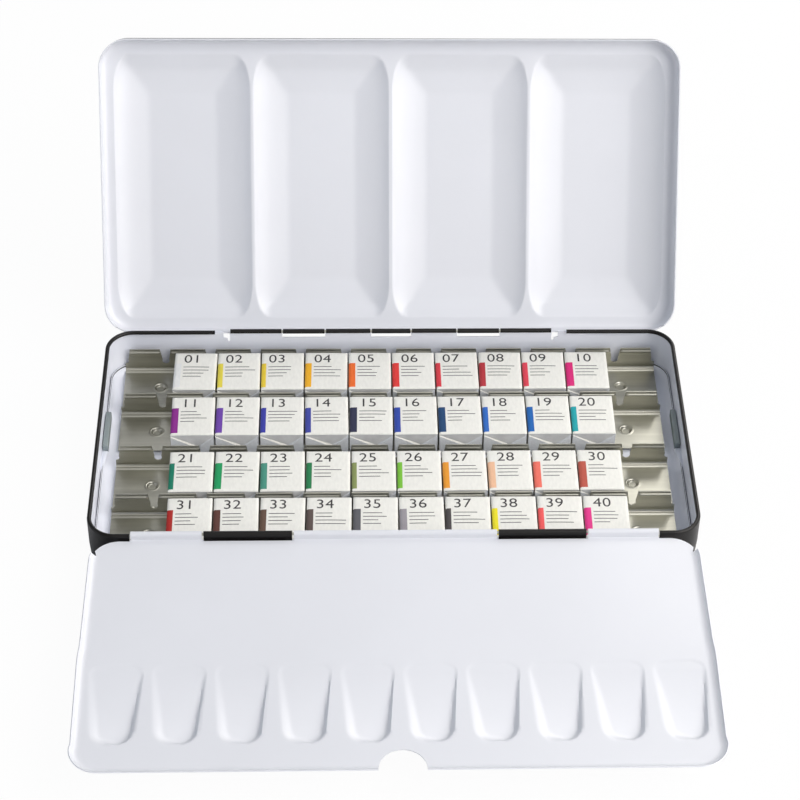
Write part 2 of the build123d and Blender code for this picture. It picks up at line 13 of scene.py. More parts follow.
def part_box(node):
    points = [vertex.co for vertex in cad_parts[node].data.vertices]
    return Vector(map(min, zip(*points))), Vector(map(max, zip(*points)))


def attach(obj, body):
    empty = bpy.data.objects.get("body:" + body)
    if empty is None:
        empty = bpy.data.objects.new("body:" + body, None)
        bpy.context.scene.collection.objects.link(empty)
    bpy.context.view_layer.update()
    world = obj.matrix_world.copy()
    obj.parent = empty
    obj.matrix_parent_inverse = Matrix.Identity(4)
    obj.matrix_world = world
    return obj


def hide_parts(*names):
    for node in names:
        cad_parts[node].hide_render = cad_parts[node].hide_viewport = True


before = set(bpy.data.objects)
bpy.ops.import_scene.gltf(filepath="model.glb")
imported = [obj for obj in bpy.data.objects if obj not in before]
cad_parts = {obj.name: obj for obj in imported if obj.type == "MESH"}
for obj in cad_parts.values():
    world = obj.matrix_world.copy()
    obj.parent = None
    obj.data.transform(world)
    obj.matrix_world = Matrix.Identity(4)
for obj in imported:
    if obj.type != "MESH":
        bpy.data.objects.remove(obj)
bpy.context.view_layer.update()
MM = 0.001


def node_box(node):
    """The lowest and highest corner of a CAD node, in millimetres."""
    low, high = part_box(node)
    return [v / MM for v in low], [v / MM for v in high]


# Tray
(_, _, _), (HALF_WIDTH, _, _) = node_box("base_tray")
HALF_DEPTH = 53.75
HEIGHT = 19.0
CORNER_RADIUS = 10.0
FOOT_RADIUS = 4.5
SHEET = 0.4
RIM_CURL = 1.5
FLOOR_BEAD_INSET = 3.2
FLOOR_BEAD = 0.28
FLOOR_BEAD_ROUND = 5.0
FLOOR_BEAD_WIDTH = 0.55
FOOT_RISE = 3.0
LEDGE_INSET = 0.85
LEDGE_LEAN = 4.5
GROOVE_DEPTH = 0.8
LEDGE_SECTION = ((0.1, 0.12), (0.22, 0.0), (0.3, -GROOVE_DEPTH), (0.52, -GROOVE_DEPTH), (0.6, 0.1))
WALL_LEVEL = 9.5

# Curls of the hinges: sheet, steps, and the angle where each starts and how far it turns
CURL_WALL = 0.35
FLAP_CURL_WALL = 0.4
CURL_STEPS = 20
LID_CURL = (0.0, -305.0)
BACK_CURL = (200.0, -310.0)
FRONT_CURL = (180.0, -320.0)
FLAP_CURL = (180.0, -315.0)

# Back hinge
LID_KNUCKLE = 0.9
LID_AXIS = (53.75, 18.1)
LID_SPANS = [(-40.5, -25.0), (-7.2, 7.2), (25.0, 40.5)]
BACK_SPANS = [(-60.2, -41.1), (-24.4, -7.8), (7.8, 24.4), (41.1, 60.2)]
RIM_END = 65.8
SLOT_TOP = 15.4
VENT = (60.5, 62.8)
VENT_TOPS = (13.6, 17.0)
SLOT_MARGIN = 0.28
SLOT_LINES = (0.25, 0.3)
STEP_LINE = 0.05

# Front hinge
FLAP_KNUCKLE = 1.1
FLAP_AXIS = (-52.85, 18.7)
FLAP_SPANS = [(-90.5, -66.2), (-34.8, 34.8), (66.2, 90.5)]
FRONT_SPANS = [(-65.6, -35.4), (35.4, 65.6)]
FRONT_CUT = 90.8
FRONT_TOP = 16.4

# Lid, as it lies shut
LID_HALF_WIDTH = 106.9
LID_HALF_DEPTH = 54.65
LID_CORNER = 10.9
LID_BOTTOM = 18.0
LID_BACK_BOTTOM = 19.3
LID_BACK_REACH = 1.3
LID_TOP = 25.0
LID_SHOULDER = 2.4
LID_OPEN_ANGLE = 121.0
WELLS = 4
WELL_RIDGE = 1.2
WELL_SIDE_MARGIN = 4.7
WELL_BACK_MARGIN = 4.9
WELL_FRONT_MARGIN = 5.9
WELL_DEPTH = 4.2
WELL_SIDE_SLOPE = 13.0
WELL_SIDE_CURVE = 0.35
WELL_END_SLOPE = 15.0
WELL_STEEP_END = 1.6
WELL_GENTLE_END = 0.63
WELL_CORNER = 6.0
WELL_BROW = 1.2
WELL_BROW_SHARE = 0.2
WELL_END_SOFTNESS = 0.45
WELL_EDGE_LINES = (-0.5, 0.0, 0.25, 0.5, 0.8, 1.15, 1.6, 2.1, 2.7)

# Flap
FLAP_HALF_WIDTH = 104.0
FLAP_FREE_EDGE = -155.65
FLAP_EDGE = -54.6
FLAP_CORNER = 10.0
FLAP_FLOOR = 17.2
FLAP_LIP = 1.3
FLAP_BEND = 3.0
FLAP_BEND_RADIUS = 3.4
FLAP_LIP_START = -61.85
THUMB_NOTCH_RADIUS = 7.7
THUMB_NOTCH_DEPTH = 9.2
THUMB_NOTCH_OFFSET = 0.8
PAINT_WELLS = 10
PAINT_WELL_PITCH = 20.3
PAINT_WELL_WIDE = 9.0
PAINT_WELL_NARROW = 6.9
PAINT_WELL_FAR = -110.4
PAINT_WELL_NEAR = -143.4
PAINT_WELL_NEAR_ROUND = 5.5
PAINT_WELL_FAR_ROUND = 4.5
PAINT_WELL_DEPTH = 2.5
PAINT_WELL_SILL = 0.12
PAINT_WELL_SHALLOW = 0.5
PAINT_WELL_STEEP = 1.6
PAINT_WELL_GENTLE = 0.2

# Inserts
INSERT_SHEET = 0.3
INSERT_BOTTOM = 1.2
INSERT_HALF = 100.0
INSERT_BEND = 0.9
ROW_PITCH = 24.2
TAB_TOP = 11.5
TAB_COUNT = 12
TAB_PITCH = 16.95
NOTCH_TOP = 4.0
NOTCH_BOTTOM = 2.2
NOTCH_BULB = 1.35
NOTCH_HEIGHT = 7.0
TAB_BEAD = 0.45
TAB_BEAD_DROP = 1.7
TAB_BEAD_REACH = 5.9
TAB_BEAD_END = 0.9
TAB_LINES = (-1.0, -0.96, -0.91, -0.86, -0.8, -0.5, 0.0, 0.5, 0.8, 0.86, 0.91, 0.96, 1.0)
FOOT_RIDGE = 0.5
FOOT_RIDGE_OFFSET = 1.35
FOOT_RIDGE_WIDTH = 0.42
DIMPLE_RADIUS = 2.1
DIMPLE_DEPTH = 0.75
DIMPLE_WALL = 0.55
DIMPLE_COLLAR = 0.16
DIMPLE_INSET = 13.5
DIMPLE_SETBACK = 10.5

# Side clips and the folds in front of them
CLIP_EDGE = 0.25
POCKET_LENGTH = 11.0
POCKET_RISE = 0.45
POCKET_DEPTH = 2.0
POCKET_TIP = 0.1
POCKET_EDGE = 0.5

# Wrapped pans and their print
STRIP_WIDTH = 2.3
STRIP_START = 6.3
BAND_EDGE = 0.9
PAN_RISE = 0.25
PAPER_EDGE = 0.7
PAPER_EDGE_DROP = 0.45
PAPER_FOOT_INSET = 0.25
PAPER_SCALE = 0.985
FOLD_STEP = 0.6
FOLD_EDGE = 0.8
FOLD_MEET = 4.2
FOLD_SIDE_INSET = 0.15
FOLD_FOOT = 0.3
FOLD_TOP_DROP = 1.7
PRINT_MARGIN = 0.8
PRINT_END = 1.2
RULES = 4
RULE_TOP = 8.2
RULE_PITCH = 1.75
RULE_WIDTH = 0.32
NUMBER_SIZE = 6.4
NUMBER_FOOT = 5.9
PRINT_RISE = 0.03
TOLERANCE = 1e-6

# How far the wrappers differ: crown, strip, feet of the folds as shares, turn in degrees, rules
CROWN_RANGE = (0.5, 1.0)
STRIP_RANGE = (0.75, 1.2)
FOLD_RANGES = ((0.0, 0.15), (0.3, 0.4))
TURN_RANGE = (-0.7, 0.7)
RULE_RANGE = (0.45, 0.95)

# Floor in metres, reflections and ambient light, with linear colours
FLOOR_SIZE = 3.0
FLOOR_DROP = 0.0002
FLOOR_GREY = (0.9, 0.9, 0.9, 1)
FLOOR_WHITENESS = 0.96
LEFT_REFLECTION = 0.2
REFLECTION_FADE = (-0.4, 0.2)
AMBIENT = 0.32
AMBIENT_BLUE = (0.84, 0.905, 1.0, 1)

# Lamps: name, place and target in metres, size, power, colour
LAMPS = (
    ("key", (1.04, -0.60, 1.01), (0.0, 0.0, 0.03), 1.5, 26.0, (1.0, 0.97, 0.945)),
    ("back_light", (0.42, 0.60, 0.60), (0.0, 0.0, 0.03), 0.42, 2.3, (1.0, 0.97, 0.92)),
    ("low_fill", (-0.93, -0.15, 0.33), (0.0, 0.0, 0.01), 0.5, 1.25, (0.88, 0.92, 1.0)),
)

# Camera: its place, and its yaw, pitch and roll in degrees
CAMERA_PLACE = (-13.9, -627.0, 605.9)
CAMERA_TURN = (3.12, 42.88, 1.87)
CAMERA_SENSOR = 36.0
CAMERA_LENS = 107.7
CAMERA_SHIFT = (-0.0625, 0.0238)

# Colours, in display values from 0 to 1
WHITE_ENAMEL = (0.9, 0.905, 0.925)
BLACK_ENAMEL = (0.07, 0.062, 0.06)
# The tray's white is bluer and lighter than the white enamel: painted bluish shade and a painted lift for
# the tray's shaded inside walls.
TRAY_WHITE_WITH_PAINTED_SHADE = (0.93, 0.94, 0.975)
TINPLATE = (0.745, 0.74, 0.695)
CLIP_STEEL = (0.66, 0.7, 0.7)
CREAM_PAPER = (0.95, 0.945, 0.915)
FOLD_PAPER = (0.93, 0.94, 0.955)
INK = (0.2, 0.19, 0.19)
PAN_WHITE = (0.93, 0.93, 0.93)
PAINT_BROWN = (0.55, 0.33, 0.25)
LABEL_COLOURS = [
    ("opaque_white", (0.93, 0.93, 0.92)), ("lemon_yellow", (0.94, 0.87, 0.3)),
    ("cadmium_yellow", (0.96, 0.83, 0.22)), ("indian_yellow", (0.98, 0.72, 0.1)),
    ("orange", (0.97, 0.44, 0.14)), ("vermilion", (0.91, 0.22, 0.2)),
    ("bright_red", (0.9, 0.22, 0.27)), ("deep_red", (0.74, 0.18, 0.22)),
    ("carmine", (0.92, 0.25, 0.33)), ("magenta", (0.89, 0.1, 0.48)),
    ("violet", (0.56, 0.12, 0.56)), ("blue_violet", (0.44, 0.25, 0.68)),
    ("lavender_blue", (0.2, 0.22, 0.66)), ("dark_blue", (0.23, 0.27, 0.65)),
    ("indigo", (0.13, 0.14, 0.27)), ("ultramarine", (0.15, 0.27, 0.67)),
    ("prussian_blue", (0.02, 0.25, 0.44)), ("cobalt_blue", (0.15, 0.42, 0.78)),
    ("cyan_blue", (0.03, 0.4, 0.72)), ("turquoise", (0.02, 0.66, 0.69)),
    ("brilliant_green", (0.02, 0.5, 0.39)), ("leaf_green", (0.04, 0.62, 0.36)),
    ("dull_green", (0.27, 0.58, 0.5)), ("permanent_green", (0.1, 0.5, 0.29)),
    ("olive_green", (0.55, 0.6, 0.35)), ("may_green", (0.5, 0.79, 0.22)),
    ("ochre", (0.95, 0.62, 0.16)), ("naples_yellow", (0.97, 0.77, 0.62)),
    ("rose", (0.96, 0.45, 0.38)), ("english_red", (0.75, 0.33, 0.26)),
    ("burnt_sienna", (0.7, 0.13, 0.1)), ("burnt_umber", (0.36, 0.2, 0.16)),
    ("dark_brown", (0.39, 0.29, 0.23)), ("sepia", (0.36, 0.3, 0.28)),
    ("slate_grey", (0.36, 0.36, 0.38)), ("light_grey", (0.62, 0.6, 0.62)),
    ("black", (0.28, 0.26, 0.26)), ("neon_yellow", (0.98, 0.92, 0.12)),
    ("neon_orange", (0.98, 0.36, 0.36)), ("neon_pink", (0.92, 0.18, 0.55)),
]


def linear(colour):
    """A display colour as the linear RGBA that shaders take."""
    return [v / 12.92 if v <= 0.04045 else ((v + 0.055) / 1.055) ** 2.4 for v in colour] + [1.0]


def new_material(name, roughness, metallic=0.0, coat=0.0):
    """A node material and its shader."""
    material = bpy.data.materials.new(name)
    material.use_nodes = True
    shader = material.node_tree.nodes["Principled BSDF"]
    shader.inputs["Roughness"].default_value = roughness
    shader.inputs["Metallic"].default_value = metallic
    shader.inputs["Coat Weight"].default_value = coat
    shader.inputs["Coat Roughness"].default_value = 0.12
    return material, shader


def noise(tree, scale, detail=3.0, stretch=(1.0, 1.0, 1.0)):
    """A noise field over the object's own coordinates, with a period given in millimetres."""
    coordinates = tree.nodes.new("ShaderNodeTexCoord")
    mapping = tree.nodes.new("ShaderNodeMapping")
    mapping.inputs["Scale"].default_value = [v / MM / scale for v in stretch]
    field = tree.nodes.new("ShaderNodeTexNoise")
    field.inputs["Scale"].default_value = 1.0
    field.inputs["Detail"].default_value = detail
    tree.links.new(coordinates.outputs["Object"], mapping.inputs["Vector"])
    tree.links.new(mapping.outputs["Vector"], field.inputs["Vector"])
    return field.outputs["Fac"]


def tint(tree, shader, field, colour, darkest, span=(0.3, 0.7)):
    """Base colour from a field: from a darker shade of the colour to the colour itself."""
    node = tree.nodes.new("ShaderNodeValToRGB")
    stops = (linear([v * darkest for v in colour]), linear(colour))
    for element, place, stop in zip(node.color_ramp.elements, span, stops):
        element.position = place
        element.color = stop
    tree.links.new(field, node.inputs["Fac"])
    tree.links.new(node.outputs["Color"], shader.inputs["Base Color"])


def bump(tree, shader, source, height):
    """A bump of the given height in millimetres from a field."""
    node = tree.nodes.new("ShaderNodeBump")
    node.inputs["Strength"].default_value = 1.0
    node.inputs["Distance"].default_value = height * MM
    tree.links.new(source, node.inputs["Height"])
    tree.links.new(node.outputs["Normal"], shader.inputs["Normal"])


def calculate(tree, operation, *values):
    """A math node over links and plain numbers."""
    node = tree.nodes.new("ShaderNodeMath")
    node.operation = operation
    for socket, value in zip(node.inputs, values):
        if isinstance(value, float):
            socket.default_value = value
        else:
            tree.links.new(value, socket)
    return node.outputs["Value"]


def remap(tree, value, source, target):
    """Maps a value from one range to another."""
    node = tree.nodes.new("ShaderNodeMapRange")
    for name, number in zip(("From Min", "From Max", "To Min", "To Max"), source + target):
        node.inputs[name].default_value = number
    tree.links.new(value, node.inputs["Value"])
    return node


def enamel(name, colour, roughness, coat, shine=0.5):
    """Stoved enamel on tinplate: an even coat with faint clouds and orange peel."""
    material, shader = new_material(name, roughness, coat=coat)
    shader.inputs["Specular IOR Level"].default_value = shine
    tree = material.node_tree
    tint(tree, shader, noise(tree, 60.0), colour, 0.985)
    bump(tree, shader, noise(tree, 2.2, 2.0), 0.012)
    return material


def brushed(name, colour, roughness, stretch):
    """Bare rolled sheet: fine drawn lines, soft clouds and uneven gloss."""
    material, shader = new_material(name, roughness, metallic=1.0)
    tree = material.node_tree
    lines = noise(tree, 3.0, 6.0, stretch)
    half_clouds = calculate(tree, "MULTIPLY", noise(tree, 35.0, 4.0), 0.5)
    mixed = calculate(tree, "MULTIPLY_ADD", lines, 0.5, half_clouds)
    tint(tree, shader, mixed, colour, 0.82, (0.35, 0.65))
    gloss = remap(tree, mixed, (0.0, 1.0), (roughness - 0.07, roughness + 0.07))
    tree.links.new(gloss.outputs["Result"], shader.inputs["Roughness"])
    bump(tree, shader, lines, 0.008)
    return material


def paper(name, colour, roughness=0.62):
    """Coated paper: faint fibres in its colour and surface."""
    material, shader = new_material(name, roughness)
    tree = material.node_tree
    tint(tree, shader, noise(tree, 0.9, 5.0, (1.0, 0.35, 1.0)), colour, 0.965)
    bump(tree, shader, noise(tree, 5.0, 3.0), 0.05)
    return material


def cast(name, colour, roughness):
    """Moulded plastic or cast paint, with a slight mottle."""
    material, shader = new_material(name, roughness)
    tree = material.node_tree
    mottle = noise(tree, 4.0, 4.0)
    tint(tree, shader, mottle, colour, 0.93)
    bump(tree, shader, mottle, 0.03)
    return material


white_enamel = enamel("white_enamel", WHITE_ENAMEL, 0.38, 0.15)
# A copy of the white enamel for the tray only, carrying painted shade: bluer and lighter than the lid's,
# for its shaded inside.
tray_enamel_with_painted_shade = enamel("tray_enamel_with_painted_shade", TRAY_WHITE_WITH_PAINTED_SHADE, 0.38, 0.15)
black_enamel = enamel("black_enamel", BLACK_ENAMEL, 0.34, 0.0, 0.3)
tinplate = brushed("tinplate", TINPLATE, 0.34, (0.06, 1.0, 1.0))
clip_steel = brushed("clip_steel", CLIP_STEEL, 0.5, (1.0, 0.06, 1.0))
wire_steel = brushed("wire_steel", TINPLATE, 0.28, (0.06, 1.0, 1.0))
cream_paper = paper("cream_paper", CREAM_PAPER)
fold_paper = paper("fold_paper", FOLD_PAPER)
ink = paper("ink", INK, 0.5)
pan_plastic = cast("pan_plastic", PAN_WHITE, 0.3)
paint_cake = cast("paint_cake", PAINT_BROWN, 0.7)


def smooth_min(a, b, blend):
    """The smaller of two values, with a rounded turn between them."""
    return np.minimum(a, b) - np.maximum(blend - np.abs(a - b), 0.0) ** 2 / (4 * blend)


def nearest_middle(x, pitch, count):
    """The middle of the nearest of several forms that stand in a row along X."""
    index = np.clip(np.round(x / pitch + (count - 1) / 2), 0, count - 1)
    return (index - (count - 1) / 2) * pitch


def inside_outline(from_side, from_end, corner):
    """How far a place lies inside an outline with rounded corners."""
    gap_x = np.maximum(corner - from_side, 0.0)
    gap_y = np.maximum(corner - from_end, 0.0)
    in_corner = (gap_x > 0) & (gap_y > 0)
    return np.where(in_corner, corner - np.hypot(gap_x, gap_y), np.minimum(from_side, from_end))


class Sheet:
    """Points and quads of a piece in the making, each quad with the index of its material."""

    def __init__(self):
        self.points = []
        self.quads = []
        self.materials = []

    def add(self, points):
        """Adds points and gives the index of the first."""
        first = len(self.points)
        self.points.extend(tuple(float(v) for v in point) for point in points)
        return first

    def quad(self, corners, material=0):
        """Adds one face over points that are there already."""
        self.quads.append(tuple(int(c) for c in corners))
        self.materials.append(material)

    def grid(self, x, y, z, material=None):
        """A grid from three arrays. Its faces look up where x and y grow with the columns and the rows."""
        rows, columns = x.shape
        first = self.add(np.stack([x, y, z], axis=-1).reshape(-1, 3))
        for row in range(rows - 1):
            for column in range(columns - 1):
                corner = first + row * columns + column
                index = 0 if material is None else material[row][column]
                self.quad((corner, corner + 1, corner + columns + 1, corner + columns), index)
        return first

    def strip(self, rings, closed=False):
        """Quads between rings of points that have the same length."""
        firsts = [self.add(ring) for ring in rings]
        count = len(rings[0])
        for a, b in zip(firsts, firsts[1:]):
            for i in range(count if closed else count - 1):
                j = (i + 1) % count
                self.quad((a + i, a + j, b + j, b + i))

    def cap(self, ring, turned):
        """Closes the end of a form whose ring goes out on one side and comes back on the other."""
        first, last = self.add(ring), len(ring) - 1
        for i in range(last // 2):
            corners = (first + i, first + i + 1, first + last - 1 - i, first + last - i)
            corners = tuple(dict.fromkeys(corners))
            self.quad(corners if turned else corners[::-1])


def make_object(name, sheet, materials, body, transform=None, thickness=0.0, sharp=35.0):
    """A Blender object from a sheet: thickened away from its faces, shaded smooth but for its folds."""
    mesh = bpy.data.meshes.new(name)
    mesh.from_pydata([[v * MM for v in point] for point in sheet.points], [], sheet.quads)
    for polygon, index in zip(mesh.polygons, sheet.materials):
        polygon.material_index = index
    for material in materials:
        mesh.materials.append(material)
    if transform is not None:
        mesh.transform(transform)
    piece = add_object(name, mesh)
    if thickness:
        solidify = piece.modifiers.new("sheet", "SOLIDIFY")
        solidify.thickness = thickness * MM
        solidify.offset = -1.0
        solidify.use_even_offset = True
        solidify.material_offset = len(materials) - 1
    settle(piece)
    piece.data.polygons.foreach_set("use_smooth", [True] * len(piece.data.polygons))
    piece.data.set_sharp_from_angle(angle=radians(sharp))
    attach(piece, body)
    return piece


def add_object(name, data):
    """A new object in the scene."""
    added = bpy.data.objects.new(name, data)
    bpy.context.scene.collection.objects.link(added)
    return added


def settle(piece):
    """Applies the modifiers of a piece."""
    bpy.context.view_layer.update()
    graph = bpy.context.evaluated_depsgraph_get()
    mesh = bpy.data.meshes.new_from_object(piece.evaluated_get(graph))
    piece.modifiers.clear()
    piece.data = mesh


def spread(start, end, step, marks=()):
    """Places from start to end about a step apart, with the marks among them."""
    count = max(2, round((end - start) / step) + 1)
    places = list(np.linspace(start, end, count)) + [m for m in marks if start < m < end]
    kept = []
    for place in sorted(places):
        if not kept or place - kept[-1] > 0.02:
            kept.append(place)
        elif any(abs(place - m) < 1e-9 for m in marks):
            kept[-1] = place
    return np.array(kept)


def rounded_grid(xs, ys, radius):
    """Grid points on a rounded rectangle: each corner patch is wrapped onto a quarter disc."""
    x, y = np.meshgrid(xs, ys)
    core_x = np.clip(x, xs[0] + radius, xs[-1] - radius)
    core_y = np.clip(y, ys[0] + radius, ys[-1] - radius)
    across, along = np.abs(x - core_x), np.abs(y - core_y)
    reach = np.maximum(across, along)
    turn = pi / 4 * np.minimum(across, along) / np.where(reach > 0, reach, 1.0)
    wide = across >= along
    part_x = np.where(wide, np.cos(turn), np.sin(turn))
    part_y = np.where(wide, np.sin(turn), np.cos(turn))
    round_x = core_x + np.sign(x - core_x) * reach * part_x
    round_y = core_y + np.sign(y - core_y) * reach * part_y
    return round_x, round_y


def edge_loop(rows, columns):
    """The places (row, column) round the edge of a grid, in order."""
    last_row, last_column = rows - 1, columns - 1
    loop = [(0, c) for c in range(last_column)] + [(r, last_column) for r in range(last_row)]
    loop += [(last_row, c) for c in range(last_column, 0, -1)]
    return loop + [(r, 0) for r in range(last_row, 0, -1)]


def pressed_sheet(xs, ys, radius, height, profile, shift=None):
    """A pressed sheet: a grid on a rounded rectangle, and round it rings that follow a profile.

    height gives Z over X and Y. profile takes X, Y, the grid's Z and whether the edge runs along X at a
    place, and gives the rings there as (offset outwards, Z). Where neighbours have fewer rings, the sheet
    ends. shift gives a new X over X and Y, for grid lines that follow a slanted form.
    """
    sheet = Sheet()
    x, y = rounded_grid(xs, ys, radius)
    if shift:
        x = shift(x, y)
    z = height(x, y)
    rows, columns = x.shape
    first = sheet.grid(x, y, z)
    lines = []
    for row, column in edge_loop(rows, columns):
        px, py, pz = x[row, column], y[row, column], z[row, column]
        out_x = (px - np.clip(px, xs[0] + radius, xs[-1] - radius)) / radius
        out_y = (py - np.clip(py, ys[0] + radius, ys[-1] - radius)) / radius
        rings = profile(px, py, pz, abs(out_y) > 0.999)
        start = sheet.add((px + out_x * offset, py + out_y * offset, level) for offset, level in rings)
        lines.append([first + row * columns + column, *range(start, start + len(rings))])
    for here, there in zip(lines, lines[1:] + lines[:1]):
        for k in range(min(len(here), len(there)) - 1):
            sheet.quad((here[k], here[k + 1], there[k + 1], there[k]))
    return sheet


def flipped(sheet):
    """The sheet with its faces turned over."""
    sheet.quads = [quad[::-1] for quad in sheet.quads]
    return sheet


def curls(name, body, material, spans, axis, radius, wall, turn, lead=(), transform=None):
    """The curls of one leaf, drawn along each span of X as a closed band of sheet.

    Their section leads in along the leaf, then turns round the wire.
    """
    first_angle, sweep = turn
    middle = radius - wall / 2
    angles = [radians(first_angle + sweep * i / CURL_STEPS) for i in range(CURL_STEPS + 1)]
    section = [*lead, *((axis[0] + middle * cos(a), axis[1] + middle * sin(a)) for a in angles)]
    path = [Vector(point) for point in section]
    sheet = Sheet()
    sides = []
    for index, point in enumerate(path):
        before = path[max(index - 1, 0)]
        after = path[min(index + 1, len(path) - 1)]
        along = (after - before).normalized()
        sides.append(Vector((-along.y, along.x)) * wall / 2)
    loop = [p + s for p, s in zip(path, sides)] + [p - s for p, s in zip(path[::-1], sides[::-1])]
    for start, end in spans:
        ends = [[(x, p.x, p.y) for p in loop] for x in (start, end)]
        sheet.strip(ends, closed=True)
        sheet.cap(ends[0], True)
        sheet.cap(ends[1], False)
    return make_object(name, sheet, [material], body, transform, sharp=40.0)


# Lid
LID_SWING = (Matrix.Translation((0, LID_AXIS[0] * MM, LID_AXIS[1] * MM))
             @ Matrix.Rotation(radians(-LID_OPEN_ANGLE), 4, "X")
             @ Matrix.Translation((0, -LID_AXIS[0] * MM, -LID_AXIS[1] * MM)))


def well_layout():
    """Width and pitch of the lid's wells, and the Y places of their ends."""
    ridges = (WELLS - 1) * WELL_RIDGE
    width = (2 * LID_HALF_WIDTH - 2 * WELL_SIDE_MARGIN - ridges) / WELLS
    low, high = WELL_FRONT_MARGIN - LID_HALF_DEPTH, LID_HALF_DEPTH - WELL_BACK_MARGIN
    return width, width + WELL_RIDGE, low, high


def mixing_wells(x, y):
    """How far the lid's wells rise above the shut lid's panel: a steep brow, slopes and a flat floor."""
    width, pitch, low, high = well_layout()
    from_side = width / 2 - np.abs(x - nearest_middle(x, pitch, WELLS))
    from_end = np.minimum(y - low, high - y)
    side_share = np.clip(from_side / WELL_SIDE_SLOPE, 0.0, 1.0)
    end_share = np.clip(from_end / WELL_END_SLOPE, 0.0, 1.0)
    side = side_share * (1.0 + WELL_SIDE_CURVE - WELL_SIDE_CURVE * side_share)
    gentle = 1.0 - WELL_GENTLE_END + WELL_GENTLE_END * end_share
    end = smooth_min(WELL_STEEP_END * end_share, gentle, 0.03)
    inside = inside_outline(from_side, WELL_END_SOFTNESS * from_end, WELL_CORNER)
    brow = 1.0 - np.exp(-np.maximum(inside, 0.0) / WELL_BROW)
    slopes = smooth_min(side, end, 0.07) * brow
    return WELL_DEPTH * np.maximum((1 - WELL_BROW_SHARE) * slopes + WELL_BROW_SHARE * brow, 0.0)


def lid_profile(_x, py, pz, _along_x):
    """Shoulder and skirt of the lid's inside. The back skirt stops above the tray's rim."""
    bend = LID_SHOULDER - SHEET
    arc = [(bend * sin(a), pz - bend * (1 - cos(a))) for a in np.linspace(0, pi / 2, 7)[1:]]
    bottom = LID_BACK_BOTTOM if py > HALF_DEPTH - LID_BACK_REACH - bend else LID_BOTTOM
    levels = np.linspace(pz - bend, bottom, 4)[1:]
    return arc + [(bend, level) for level in levels]


def build_lid():
    """The lid: white inside, black outside, with its three black knuckles."""
    inset = LID_SHOULDER
    half_x, half_y = LID_HALF_WIDTH - inset, LID_HALF_DEPTH - inset
    width, pitch, low, high = well_layout()
    middles = [(index - (WELLS - 1) / 2) * pitch for index in range(WELLS)]
    marks = [middle + side * (width / 2 - away)
             for middle in middles for side in (-1, 1) for away in WELL_EDGE_LINES]
    xs = spread(-half_x, half_x, 1.0, marks)
    marks = [place for away in WELL_EDGE_LINES for place in (low + away, high - away)]
    ys = spread(-half_y, half_y, 1.0, marks)
    sheet = pressed_sheet(xs, ys, LID_CORNER - inset,
                          lambda x, y: LID_TOP - SHEET + mixing_wells(x, y), lid_profile)
    lid = make_object("lid_shell", flipped(sheet), [white_enamel, black_enamel], "lid", LID_SWING, SHEET)
    y, z = LID_AXIS
    wall_y = y + LID_KNUCKLE - CURL_WALL / 2
    lead = [(wall_y, LID_BACK_BOTTOM + SHEET), (wall_y, z + 0.4)]
    knuckles = curls("lid_knuckles", "lid", black_enamel, LID_SPANS, LID_AXIS, LID_KNUCKLE, CURL_WALL,
                     LID_CURL, lead, LID_SWING)
    for piece in (lid, knuckles):
        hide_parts("lid")


# Tray
def within(x, spans, margin=0.0):
    """Whether X lies in one of the spans, or within a margin of it."""
    return any(start - margin <= x <= end + margin for start, end in spans)


def wall_top(x, y):
    """How high the tray's wall goes at a place, or None where it ends in the rolled rim."""
    if y > 0 and abs(x) <= RIM_END:
        if within(x, LID_SPANS, SLOT_MARGIN):
            return SLOT_TOP
        if VENT[0] <= abs(x) <= VENT[1]:
            share = (abs(x) - VENT[0]) / (VENT[1] - VENT[0])
            return VENT_TOPS[0] + share * (VENT_TOPS[1] - VENT_TOPS[0])
        return LID_AXIS[1]
    if y < 0 and abs(x) <= FRONT_CUT:
        return FLAP_AXIS[1] if within(x, FRONT_SPANS) else FRONT_TOP
    return None


def tray_profile(px, py, pz, along_x):
    """Bend, ledge with its groove, wall and rolled rim of the tray's inside."""
    bend = FOOT_RADIUS - SHEET
    reach = bend - LEDGE_INSET
    turns = np.linspace(0, pi / 2, 8)[1:]
    rings = [(reach * sin(a), pz + FOOT_RISE * (1 - cos(a))) for a in turns]
    ledge = pz + FOOT_RISE
    rings += [(reach + offset, ledge + rise) for offset, rise in LEDGE_SECTION]
    rings.append((bend, ledge + LEDGE_LEAN))
    levels = [WALL_LEVEL, VENT_TOPS[0], SLOT_TOP, FRONT_TOP, LID_AXIS[1]]
    top = wall_top(px, py) if along_x else None
    if top is not None:
        return rings + [(bend, level) for level in levels if level < top - 0.01] + [(bend, top)]
    rings += [(bend, level) for level in levels]
    inner = RIM_CURL / 2 - SHEET
    curl_middle = HEIGHT - RIM_CURL / 2
    turns = [radians(a) for a in np.linspace(0, 285, 16)]
    return rings + [(bend - inner + inner * cos(a), curl_middle + inner * sin(a)) for a in turns]


def tray_floor(x, y):
    """The tray's floor, with a shallow bead pressed round it."""
    edge_x = HALF_WIDTH - FOOT_RADIUS - FLOOR_BEAD_INSET
    edge_y = HALF_DEPTH - FOOT_RADIUS - FLOOR_BEAD_INSET
    round_x = np.maximum(np.abs(x) - edge_x + FLOOR_BEAD_ROUND, 0.0)
    round_y = np.maximum(np.abs(y) - edge_y + FLOOR_BEAD_ROUND, 0.0)
    distance = np.hypot(round_x, round_y) - FLOOR_BEAD_ROUND
    return SHEET + FLOOR_BEAD * np.exp(-(distance / FLOOR_BEAD_WIDTH) ** 2)


